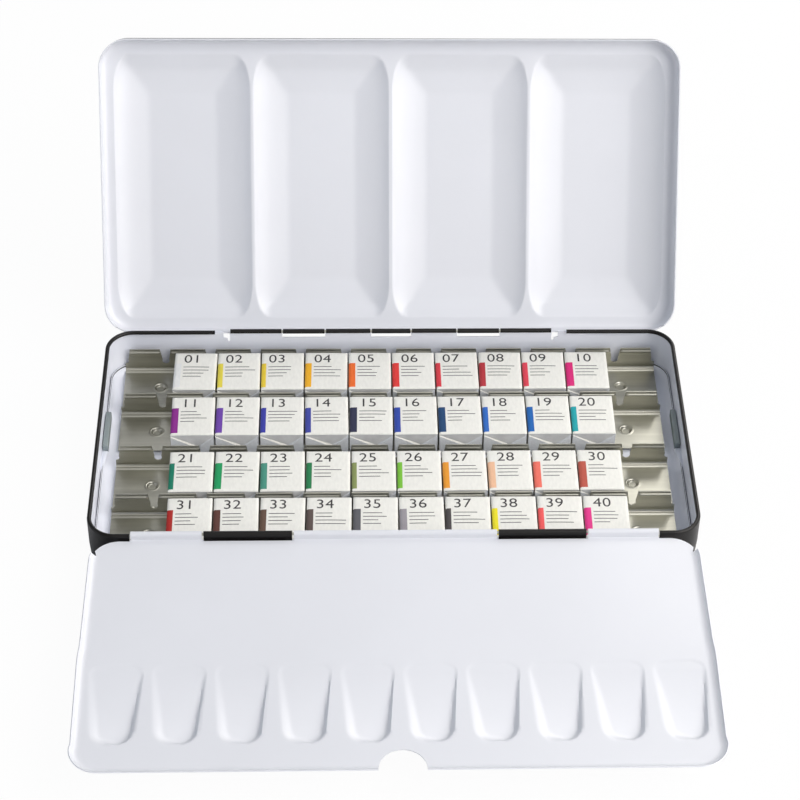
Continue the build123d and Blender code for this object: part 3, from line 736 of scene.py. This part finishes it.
def build_tray():
    """The tray: white inside, black outside, with its black knuckles on both hinges."""
    inset = FOOT_RADIUS
    half_x, half_y = HALF_WIDTH - inset, HALF_DEPTH - inset
    marks = []
    for start, end in LID_SPANS:
        for line in SLOT_LINES:
            marks += [start - line, end + line]
    for start, end in FRONT_SPANS:
        marks += [start - STEP_LINE, start, end, end + STEP_LINE]
    for x in (VENT[0] - STEP_LINE, VENT[0], VENT[1], VENT[1] + STEP_LINE, RIM_END, RIM_END + STEP_LINE,
              FRONT_CUT, FRONT_CUT + STEP_LINE):
        marks += [-x, x]
    edge = np.arange(0, 6, 0.25)
    xs = spread(-half_x, half_x, 2.0, [*marks, *(edge - half_x), *(half_x - edge)])
    ys = spread(-half_y, half_y, 2.0, [*(edge - half_y), *(half_y - edge)])
    sheet = pressed_sheet(xs, ys, CORNER_RADIUS - inset, tray_floor, tray_profile)
    # The tray's inside takes the enamel copy with the painted bluish shade.
    tray = make_object("tray_shell", sheet, [tray_enamel_with_painted_shade, black_enamel], "base", None, SHEET)
    back = curls("back_knuckles", "base", black_enamel, BACK_SPANS, LID_AXIS, LID_KNUCKLE, CURL_WALL,
                 BACK_CURL)
    front = curls("front_knuckles", "base", black_enamel, FRONT_SPANS, FLAP_AXIS, FLAP_KNUCKLE, CURL_WALL,
                  FRONT_CURL)
    for piece in (tray, back, front):
        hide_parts("base_tray")


# Flap
def paint_wells(x, y):
    """How far the flap's wells sink below its floor. Each falls from a sill to a rounded near end."""
    middle = nearest_middle(x, PAINT_WELL_PITCH, PAINT_WELLS)
    share = np.clip((PAINT_WELL_FAR - y) / (PAINT_WELL_FAR - PAINT_WELL_NEAR), -0.2, 1.2)
    half = PAINT_WELL_WIDE + (PAINT_WELL_NARROW - PAINT_WELL_WIDE) * share
    down = np.where(share > 0.5, y - PAINT_WELL_NEAR, PAINT_WELL_FAR - y)
    corner = np.where(share > 0.5, PAINT_WELL_NEAR_ROUND, PAINT_WELL_FAR_ROUND)
    inside = inside_outline(half - np.abs(x - middle), down, corner)
    share = np.clip((share - 0.1) / 0.9, 0.0, 1.0)
    right = np.clip(0.5 + (x - middle) / (2 * half), 0.0, 1.0)
    sink = PAINT_WELL_SHALLOW + (PAINT_WELL_DEPTH - PAINT_WELL_SHALLOW) * right
    floor = PAINT_WELL_SILL + (sink - PAINT_WELL_SILL) * share
    turn = right * right * (3 - 2 * right)
    steep = PAINT_WELL_GENTLE + (PAINT_WELL_STEEP - PAINT_WELL_GENTLE) * turn
    return np.maximum(smooth_min(inside * steep, floor, 0.25 + 0.75 * share), 0.0)


def lean_with_wells(x, y):
    """Leans the grid lines of the flap with the slanted sides of its wells."""
    centre = nearest_middle(x, PAINT_WELL_PITCH, PAINT_WELLS)
    away = np.abs(x - centre)
    share = np.clip((PAINT_WELL_FAR - y) / (PAINT_WELL_FAR - PAINT_WELL_NEAR), 0.0, 1.0)
    middle = (PAINT_WELL_WIDE + PAINT_WELL_NARROW) / 2
    half = PAINT_WELL_WIDE + (PAINT_WELL_NARROW - PAINT_WELL_WIDE) * share
    limit = PAINT_WELL_PITCH / 2
    between = half + (away - middle) * (limit - half) / (limit - middle)
    moved = np.where(away <= middle, away * half / middle, between)
    moved = np.where(away < limit, moved, away)
    near_fade = (y - FLAP_FREE_EDGE - FLAP_CORNER) / 2.0
    far_fade = (PAINT_WELL_FAR + 8.0 - y) / 5.0
    fade = np.clip(np.minimum(near_fade, far_fade), 0.0, 1.0)
    return x + np.sign(x - centre) * (moved - away) * fade


def flap_profile(_x, py, pz, _along_x):
    """The flap's edge: a bent-up lip on three sides, and a flat edge beside the hinge."""
    if py > FLAP_LIP_START + 0.01:
        return [((FLAP_BEND - SHEET) / 2, pz), (FLAP_BEND - SHEET, pz)]
    end = acos(1 - FLAP_LIP / FLAP_BEND_RADIUS)
    turns = np.linspace(0, end, 8)[1:]
    return [(FLAP_BEND_RADIUS * sin(a), pz + FLAP_BEND_RADIUS * (1 - cos(a))) for a in turns]


def cut_thumb_notch(piece):
    """Cuts the round-ended thumb notch out of the flap's free edge."""
    radius = THUMB_NOTCH_RADIUS
    centre_y = FLAP_FREE_EDGE + THUMB_NOTCH_DEPTH - radius
    outline = [(radius * cos(a), centre_y + radius * sin(a)) for a in np.linspace(0, pi, 41)]
    outline += [(-radius, FLAP_FREE_EDGE - 3.0), (radius, FLAP_FREE_EDGE - 3.0)]
    low, high = FLAP_FLOOR - 3.0, FLAP_FLOOR + 5.0
    count = len(outline)
    points = [((x + THUMB_NOTCH_OFFSET) * MM, y * MM, z * MM) for z in (low, high) for x, y in outline]
    faces = [tuple(range(count))[::-1], tuple(range(count, 2 * count))]
    faces += [(i, (i + 1) % count, count + (i + 1) % count, count + i) for i in range(count)]
    mesh = bpy.data.meshes.new("notch_cutter")
    mesh.from_pydata(points, [], faces)
    cutter = add_object("notch_cutter", mesh)
    cut = piece.modifiers.new("notch", "BOOLEAN")
    cut.operation = "DIFFERENCE"
    cut.solver = "EXACT"
    cut.object = cutter
    settle(piece)
    bpy.data.objects.remove(cutter)


def build_flap():
    """The mixing flap with its lips, ten wells, thumb notch and three hinge curls."""
    inset = FLAP_BEND
    half_x = FLAP_HALF_WIDTH - inset
    low, high = FLAP_FREE_EDGE + inset, FLAP_EDGE - inset + SHEET
    xs = spread(-half_x, half_x, 0.6)
    wells_end = PAINT_WELL_FAR + 4.0
    far = spread(wells_end, high, 2.0, (FLAP_LIP_START, FLAP_LIP_START + STEP_LINE))[1:]
    ys = np.concatenate([spread(low, wells_end, 0.7), far])
    sheet = pressed_sheet(xs, ys, FLAP_CORNER - inset,
                          lambda x, y: FLAP_FLOOR - paint_wells(x, y), flap_profile, lean_with_wells)
    flap = make_object("flap_sheet", sheet, [white_enamel], "flap", None, SHEET)
    cut_thumb_notch(flap)
    flap.data.set_sharp_from_angle(angle=radians(35.0))
    face = FLAP_AXIS[0] - FLAP_KNUCKLE + FLAP_CURL_WALL / 2
    level = FLAP_FLOOR - FLAP_CURL_WALL / 2
    lead = [(FLAP_EDGE - SHEET, level), (face - 0.35, level), (face - 0.08, level + 0.1),
            (face, level + 0.4)]
    rolls = curls("flap_curls", "flap", white_enamel, FLAP_SPANS, FLAP_AXIS, FLAP_KNUCKLE, FLAP_CURL_WALL,
                  FLAP_CURL, lead)
    for piece in (flap, rolls):
        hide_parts("mixing_flap")


# Inserts
def notch_half_width(z):
    """Half the gap between two tabs at a height: a taper that ends in a round bulb."""
    foot = TAB_TOP - NOTCH_HEIGHT + NOTCH_BULB
    if z < foot - NOTCH_BULB:
        return 0.0
    bulb = sqrt(max(NOTCH_BULB ** 2 - (z - foot) ** 2, 0.0))
    if z < foot:
        return bulb
    share = (z - foot) / (TAB_TOP - foot)
    return max(bulb, (NOTCH_BOTTOM + (NOTCH_TOP - NOTCH_BOTTOM) * share) / 2)


def spring_tab(sheet, centre_x, face, back, foot, half_left, half_right):
    """One spring tab: front with its pressed bead, a rounded top fold, back and side edges."""
    thick = (back - face) / 2
    notch_foot = TAB_TOP - NOTCH_HEIGHT
    levels = [*np.linspace(foot, notch_foot - 0.05, 3), *(notch_foot + np.linspace(0.0, 2.9, 12)),
              *np.linspace(notch_foot + 3.1, TAB_TOP - thick, 14)]

    def row(z, y_of):
        """The tab's points at one height."""
        cut = notch_half_width(z)
        left, right = half_left - cut, half_right - cut
        places = [s * (right if s > 0 else left) for s in TAB_LINES]
        return [(centre_x + place, y_of(place, z), z) for place in places]

    def front(place, z):
        """Y of the tab's front, with its bead."""
        tall = max(0.0, 1.0 - ((z - (TAB_TOP - TAB_BEAD_DROP)) / (TAB_BEAD * 1.2)) ** 2)
        ends = min(1.0, max(0.0, (TAB_BEAD_REACH + TAB_BEAD_END - abs(place)) / TAB_BEAD_END))
        return face - TAB_BEAD * sqrt(tall) * ends

    rings = [row(z, front) for z in levels]
    for angle in np.linspace(0, pi, 7)[1:-1]:
        fold = (face + back) / 2 - thick * cos(angle)
        rings.append(row(TAB_TOP - thick + thick * sin(angle), lambda place, z, y=fold: y))
    rings += [row(z, lambda place, z: back) for z in levels[::-1]]
    sheet.strip(rings)
    sheet.cap([ring[0] for ring in rings], True)
    sheet.cap([ring[-1] for ring in rings], False)


def insert_floor(back_face, dimple_y):
    """Height of one row's floor as a function of X and Y: bend at the wall, foot ridge and two dimples."""
    def height(x, y):
        bend = INSERT_BEND * np.clip(1.0 - (back_face - y) / INSERT_BEND, 0.0, 1.0) ** 2
        ridge_y = back_face - FOOT_RIDGE_OFFSET
        ridge = FOOT_RIDGE * np.exp(-((y - ridge_y) / FOOT_RIDGE_WIDTH) ** 2)
        z = INSERT_BOTTOM + INSERT_SHEET + np.maximum(bend, ridge)
        for side in (-1, 1):
            radius = np.hypot(x - side * (INSERT_HALF - DIMPLE_INSET), y - dimple_y)
            bowl = np.clip((DIMPLE_RADIUS - 0.15 - radius) / DIMPLE_WALL, 0.0, 1.0)
            z = z - DIMPLE_DEPTH * (3 * bowl ** 2 - 2 * bowl ** 3)
            z = z + DIMPLE_COLLAR * np.exp(-((radius - DIMPLE_RADIUS - 0.25) / 0.3) ** 2)
        return z
    return height


def build_insert(node):
    """One tinplate insert: two rows of spring tabs, and floors with a foot ridge and dimples."""
    (_, front_y, _), (_, back_wall, _) = node_box(node)
    tabs = Sheet()
    floors = Sheet()
    dimple_x = INSERT_HALF - DIMPLE_INSET
    dense = np.arange(-3.2, 3.21, 0.2)
    xs = spread(-INSERT_HALF, INSERT_HALF, 5.0, [*(dense - dimple_x), *(dense + dimple_x)])
    foot = INSERT_BOTTOM + INSERT_SHEET + 0.85
    for row in range(2):
        back = back_wall - row * ROW_PITCH
        face = back - (1 + row) * INSERT_SHEET
        last = back - ROW_PITCH if row == 0 else front_y
        dimple_y = back - DIMPLE_SETBACK
        lines = [*(face - np.arange(0.0, 2.6, 0.13)), *(dimple_y + dense)]
        lines += list(last + np.arange(0.0, 1.0, 0.2))
        x, y = np.meshgrid(xs, spread(last, face, 2.0, lines))
        floors.grid(x, y, insert_floor(face, dimple_y)(x, y))
        for tab in range(TAB_COUNT):
            centre = (tab - (TAB_COUNT - 1) / 2) * TAB_PITCH
            left = min(TAB_PITCH / 2, centre + INSERT_HALF)
            right = min(TAB_PITCH / 2, INSERT_HALF - centre)
            if tab == 0:
                left += notch_half_width(foot)
            spring_tab(tabs, centre, face, back, foot, left, right)
    walls = make_object(node + "_tabs", tabs, [tinplate], "base", sharp=50.0)
    floor = make_object(node + "_floor", floors, [tinplate], "base", None, INSERT_SHEET * 0.9, sharp=50.0)
    for piece in (walls, floor):
        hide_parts(node)


# Side clips and their pockets
def rounded_bar(middle, half, low, high, radius, steps=5):
    """Section of a bar in X and Z, open below, with its two top edges rounded."""
    section = [(middle - half, low)]
    for turn, side in ((pi, -1), (pi / 2, 1)):
        x, z = middle + side * (half - radius), high - radius
        angles = [turn - pi / 2 * i / steps for i in range(steps + 1)]
        section += [(x + radius * cos(a), z + radius * sin(a)) for a in angles]
    return section + [(middle + half, low)]


def build_clip(node):
    """The spring strip in the bend of a side wall, rounded at its far end."""
    (x0, y0, z0), (x1, y1, z1) = node_box(node)
    middle, half = (x0 + x1) / 2, (x1 - x0) / 2
    stations = [(y0, 0.9), (y0 + 0.12, 1.0)] + [(y, 1.0) for y in np.linspace(y0 + 1.0, y1 - 1.0, 8)]
    for a in np.linspace(0, 1.4, 5):
        stations.append((y1 - CLIP_EDGE * (1 - sin(a)), 1 - CLIP_EDGE / half * (1 - cos(a))))
    rings = []
    for y, share in stations:
        bar = rounded_bar(middle, half * share, z0, z1 - CLIP_EDGE * (1 - share), CLIP_EDGE * share)
        rings.append([(x, y, z) for x, z in bar])
    sheet = Sheet()
    sheet.strip(rings)
    sheet.cap(rings[0], False)
    sheet.cap(rings[-1], True)
    clip = make_object(node + "_strip", sheet, [clip_steel], "base", sharp=50.0)
    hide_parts(node)
    build_pocket(node, 1 if middle > 0 else -1, max(abs(x0), abs(x1)), y0, z0)


def build_pocket(node, side, face, clip_front, low):
    """The fold pressed into the wall's foot in front of a clip: a shelf that narrows to a tip."""
    back = clip_front - 0.05
    wall = HALF_WIDTH - SHEET + 0.1
    shelf = low + POCKET_RISE
    turns = np.linspace(0, pi / 2, 6)
    rings = []
    for share in np.linspace(0, 1, 15):
        y = back - POCKET_LENGTH * share
        inner = face - POCKET_DEPTH * (1 - share) - POCKET_TIP * share
        ring = [(side * inner, y, low - 0.5)]
        ring += [(side * (inner + POCKET_EDGE * (1 - cos(a))), y, shelf - POCKET_EDGE * (1 - sin(a)))
                 for a in turns]
        ring.append((side * wall, y, shelf + 0.12))
        rings.append(ring)
    tip_y = back - POCKET_LENGTH - 1.5
    rings.append([(side * (wall + 0.05), tip_y, min(z, low + 1.5)) for _, _, z in rings[-1]])
    sheet = Sheet()
    sheet.strip(rings)
    first = sheet.add(rings[0] + [(side * wall, back, low - 0.5)])
    sheet.quad(range(first, first + len(rings[0]) + 1))
    if side > 0:
        flipped(sheet)
    name = node.replace("clip", "pocket") + "_fold"
    # The fold takes the tray's enamel copy with the painted bluish shade.
    pocket = make_object(name, sheet, [tray_enamel_with_painted_shade], "base", sharp=50.0)


# Wrapped pans, whose papers are the plain band, the colour strip and the folds
PLAIN, STRIP, FOLD = range(3)


def wrapper_top(x, y, width, length, crown):
    """Height of the label over the box: a soft crown of its own between rounded edges."""
    edge_x = (width / 2 - np.abs(x)) / PAPER_EDGE
    edge_y = (length / 2 - np.abs(y)) / PAPER_EDGE
    drop = np.clip(1.0 - np.minimum(edge_x, edge_y), 0.0, 1.0) ** 2 * PAPER_EDGE_DROP
    rise = PAN_RISE * (1 - (2 * x / width) ** 2) * (1 - 0.6 * (2 * y / length) ** 2)
    return rise * crown - drop


def label_lines(half, marks):
    """Grid lines over a label, denser at its edges, with the marks among them."""
    lines = set(np.linspace(-half, half, 13)) | {-half + 0.25, -half + 0.5, half - 0.25, half - 0.5}
    return np.array(sorted(lines | set(marks)))


def side_folds(sheet, half_w, half_l, height, rng):
    """The two side folds of each end, over the flap from the top. Their slanted edges almost meet."""
    for side in (-1, 1):
        outer, inner = side * half_l, side * (half_l - FOLD_STEP - 0.1)
        feet = [half_w * rng.uniform(*shares) for shares in FOLD_RANGES]
        for hand, foot in zip((-1, 1), feet):
            edge = hand * (half_w - FOLD_SIDE_INSET)
            past = foot - hand * (FOLD_EDGE if hand < 0 else FOLD_EDGE / 2)
            top = height - FOLD_TOP_DROP
            front = sheet.add([(edge, outer, top), (edge, outer, FOLD_FOOT),
                               (foot, outer, FOLD_FOOT), (foot, outer, FOLD_MEET)])
            behind = sheet.add([(edge, inner, top + FOLD_EDGE), (edge, inner, FOLD_FOOT),
                                (past, inner, FOLD_FOOT), (past, inner, FOLD_MEET + 0.5)])
            faces = [tuple(front + i for i in range(4)), tuple(behind + 3 - i for i in range(4))]
            for i in range(4):
                j = (i + 1) % 4
                faces.append((front + i, behind + i, behind + j, front + j))
            # The left fold's slanted edge is drawn in the cream label paper as a painted highlight, where
            # the edge catches the light; the right fold's edge stays fold paper.
            kinds = [FOLD] * 5 + [PLAIN if hand < 0 else FOLD]
            for face, kind in zip(faces, kinds):
                sheet.quad(face if side == hand else face[::-1], kind)


def build_wrapper(number, rng):
    """One paper wrapper: label band with its colour strip, folded ends, printed rules and a number."""
    node = f"wrapper_{number:02d}"
    (x0, y0, z0), (x1, y1, z1) = node_box(node)
    width, length, height = x1 - x0, y1 - y0, z1 - z0
    half_w, half_l = width / 2, length / 2
    colour_name, colour = LABEL_COLOURS[number - 1]
    label = paper("label_" + colour_name, colour, 0.55)
    crown = rng.uniform(*CROWN_RANGE)
    strip = STRIP_WIDTH * rng.uniform(*STRIP_RANGE)
    strip_x, strip_start, strip_end = -half_w + strip, -half_l + BAND_EDGE, half_l - STRIP_START

    def beside_strip(low, high):
        """Whether a stretch of Y lies along the colour strip."""
        return low >= strip_start - TOLERANCE and high <= strip_end + TOLERANCE

    sheet = Sheet()
    xs = label_lines(half_w, {strip_x})
    ys = label_lines(half_l, {strip_start, strip_end})
    x, y = np.meshgrid(xs, ys)
    top = height - PAN_RISE + wrapper_top(x, y, width, length, crown)
    kinds = [[STRIP if right <= strip_x + TOLERANCE and beside_strip(low, high) else PLAIN
              for right in xs[1:]] for low, high in zip(ys, ys[1:])]
    sheet.grid(x, y, top, kinds)
    # Sides and ends hang from the top's edge down to the box's foot
    loop = [(x[place], y[place], top[place]) for place in edge_loop(*x.shape)]
    firsts = [sheet.add(loop)]
    end_limit = half_l - FOLD_STEP
    for share in (0.12, 0.7, 0.95, 1.0):
        inset = PAPER_FOOT_INSET * max(0.0, (share - 0.7) / 0.3)
        ring = []
        for px, py, pz in loop:
            end_y = max(-end_limit, min(end_limit, py))
            ring.append((px * (1 - inset / half_w), end_y * (1 - inset / half_l), pz * (1 - share)))
        firsts.append(sheet.add(ring))
    for a, b in zip(firsts, firsts[1:]):
        for i, here in enumerate(loop):
            j = (i + 1) % len(loop)
            there = loop[j]
            on_side = min(abs(here[0]), abs(there[0])) > half_w - TOLERANCE
            on_strip = (on_side and here[0] < 0 and a == firsts[0]
                        and beside_strip(min(here[1], there[1]), max(here[1], there[1])))
            kind = STRIP if on_strip else PLAIN if on_side else FOLD
            sheet.quad((a + i, b + i, b + j, a + j), kind)
    foot_x, foot_y = half_w - PAPER_FOOT_INSET, half_l - PAPER_FOOT_INSET
    corners = ((-foot_x, -foot_y), (foot_x, -foot_y), (foot_x, foot_y), (-foot_x, foot_y))
    low = sheet.add((px, py, 0.0) for px, py in corners)
    sheet.quad((low + 3, low + 2, low + 1, low), FOLD)
    side_folds(sheet, half_w, half_l, height, rng)
    turn = Matrix.Rotation(radians(rng.uniform(*TURN_RANGE)), 4, "Z")
    middle = Matrix.Translation(((x0 + x1) / 2 * MM, (y0 + y1) / 2 * MM, z0 * MM))
    place = middle @ turn @ Matrix.Scale(PAPER_SCALE, 4)
    papers = [cream_paper, label, fold_paper]
    piece = make_object(node + "_paper", sheet, papers, "base", place, sharp=30.0)
    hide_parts(node)
    build_print(node, number, place, width, length, height, strip, crown, rng)


def build_print(node, number, place, width, length, height, strip, crown, rng):
    """The label's generic print: the pan's number and thin rules, laid on the crowned paper."""
    sheet = Sheet()
    paper_level = height - PAN_RISE

    def lay(points):
        """Print points just above the paper."""
        px, py = np.array(points).T
        z = paper_level + wrapper_top(px, py, width, length, crown) + PRINT_RISE
        return np.stack([px, py, z], axis=-1)

    left = -width / 2 + strip + PRINT_MARGIN
    for line in range(RULES):
        y = length / 2 - RULE_TOP - RULE_PITCH * line
        right = left + (width / 2 - PRINT_END - left) * rng.uniform(*RULE_RANGE)
        places = np.linspace(left, right, 6)
        first = sheet.add(lay([(px, y) for px in places] + [(px, y - RULE_WIDTH) for px in places]))
        for i in range(5):
            sheet.quad((first + 6 + i, first + 7 + i, first + 1 + i, first + i))
    text = bpy.data.curves.new(node + "_number", "FONT")
    text.body = f"{number:02d}"
    text.size = NUMBER_SIZE
    text.space_character = 1.05
    figure = add_object(node + "_figure", text)
    bpy.context.view_layer.update()
    mesh = bpy.data.meshes.new_from_object(figure.evaluated_get(bpy.context.evaluated_depsgraph_get()))
    base = sheet.add(lay([(left + v.co.x, length / 2 - NUMBER_FOOT + v.co.y) for v in mesh.vertices]))
    for polygon in mesh.polygons:
        sheet.quad([base + i for i in polygon.vertices])
    bpy.data.objects.remove(figure)
    bpy.data.meshes.remove(mesh)
    piece = make_object(node + "_print", sheet, [ink], "base", place)


build_lid()
build_tray()
build_flap()
build_insert("insert_back")
build_insert("insert_front")
build_clip("side_clip_right")
build_clip("side_clip_left")
generator = np.random.default_rng(7)
for number in range(1, 41):
    build_wrapper(number, generator)

# Pieces that the CAD draws as they are
for name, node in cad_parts.items():
    for part, material in (("wire", wire_steel), ("half_pans", pan_plastic), ("paint_row", paint_cake)):
        if part in name:
            node.data.materials.clear()
            node.data.materials.append(material)


# Floor, light and camera
def blend(tree, share, first, second, output):
    """Mixes two shaders into an output node."""
    mix = tree.nodes.new("ShaderNodeMixShader")
    tree.links.new(share, mix.inputs["Fac"])
    tree.links.new(first, mix.inputs[1])
    tree.links.new(second, mix.inputs[2])
    tree.links.new(mix.outputs["Shader"], tree.nodes[output].inputs["Surface"])


def build_stage():
    """A pale floor that looks white to the camera and keeps the shadow."""
    mesh = bpy.data.meshes.new("floor")
    corners = [(x * FLOOR_SIZE, y * FLOOR_SIZE, 0) for x, y in ((-1, -1), (1, -1), (1, 1), (-1, 1))]
    mesh.from_pydata(corners, [], [(0, 1, 2, 3)])
    floor = add_object("floor", mesh)
    floor.location.z = -FLOOR_DROP
    material, shader = new_material("floor", 0.9)
    shader.inputs["Base Color"].default_value = FLOOR_GREY
    tree = material.node_tree
    rays = tree.nodes.new("ShaderNodeLightPath")
    share = calculate(tree, "MULTIPLY", rays.outputs["Is Camera Ray"], FLOOR_WHITENESS)
    white = tree.nodes.new("ShaderNodeEmission")
    blend(tree, share, shader.outputs["BSDF"], white.outputs["Emission"], "Material Output")
    mesh.materials.append(material)


def build_world():
    """Even light from all round, and white behind the object for the camera, glossy and clear rays.

    What glossy rays see gets darker toward the left, as in a studio lit from the right.
    """
    world = bpy.data.worlds.new("studio")
    bpy.context.scene.world = world
    world.use_nodes = True
    tree = world.node_tree
    light = tree.nodes["Background"]
    light.inputs["Color"].default_value = AMBIENT_BLUE
    light.inputs["Strength"].default_value = AMBIENT
    seen = tree.nodes.new("ShaderNodeBackground")
    seen.inputs["Color"].default_value = (1, 1, 1, 1)
    rays = tree.nodes.new("ShaderNodeLightPath")
    camera, glossy = rays.outputs["Is Camera Ray"], rays.outputs["Is Glossy Ray"]
    direction = tree.nodes.new("ShaderNodeTexCoord")
    parts = tree.nodes.new("ShaderNodeSeparateXYZ")
    tree.links.new(direction.outputs["Generated"], parts.inputs["Vector"])
    side = remap(tree, parts.outputs["X"], REFLECTION_FADE, (LEFT_REFLECTION, 1.0))
    side.interpolation_type = "SMOOTHSTEP"
    tree.links.new(calculate(tree, "MAXIMUM", side.outputs["Result"], camera), seen.inputs["Strength"])
    either = calculate(tree, "MAXIMUM", camera, glossy)
    any_of = calculate(tree, "MAXIMUM", either, rays.outputs["Is Transmission Ray"])
    blend(tree, any_of, light.outputs["Background"], seen.outputs["Background"], "World Output")


def area_light(name, place, target, size, power, colour):
    """A soft square lamp at a place in metres, turned to a target."""
    data = bpy.data.lights.new(name, "AREA")
    data.shape = "SQUARE"
    data.size = size
    data.energy = power
    data.color = colour
    lamp = add_object(name, data)
    lamp.location = place
    lamp.rotation_euler = (Vector(target) - Vector(place)).to_track_quat("-Z", "Y").to_euler()


def build_camera():
    """The photograph's view: a long lens, seen from in front and above, framed low and to the left."""
    yaw, pitch, roll = (radians(angle) for angle in CAMERA_TURN)
    forward = Vector((sin(yaw) * cos(pitch), cos(yaw) * cos(pitch), -sin(pitch)))
    level = Vector((cos(yaw), -sin(yaw), 0))
    upright = level.cross(forward)
    right = level * cos(roll) + upright * sin(roll)
    up = upright * cos(roll) - level * sin(roll)
    data = bpy.data.cameras.new("camera")
    data.sensor_width = CAMERA_SENSOR
    data.lens = CAMERA_LENS
    data.shift_x, data.shift_y = CAMERA_SHIFT
    data.clip_start = 0.01
    data.clip_end = 20.0
    camera = add_object("camera", data)
    turn = Matrix((right, up, -forward)).transposed().to_4x4()
    camera.matrix_world = Matrix.Translation(Vector(CAMERA_PLACE) * MM) @ turn
    bpy.context.scene.camera = camera


build_stage()
build_world()
for lamp in LAMPS:
    area_light(*lamp)
build_camera()
bpy.context.scene.view_settings.view_transform = "Standard"
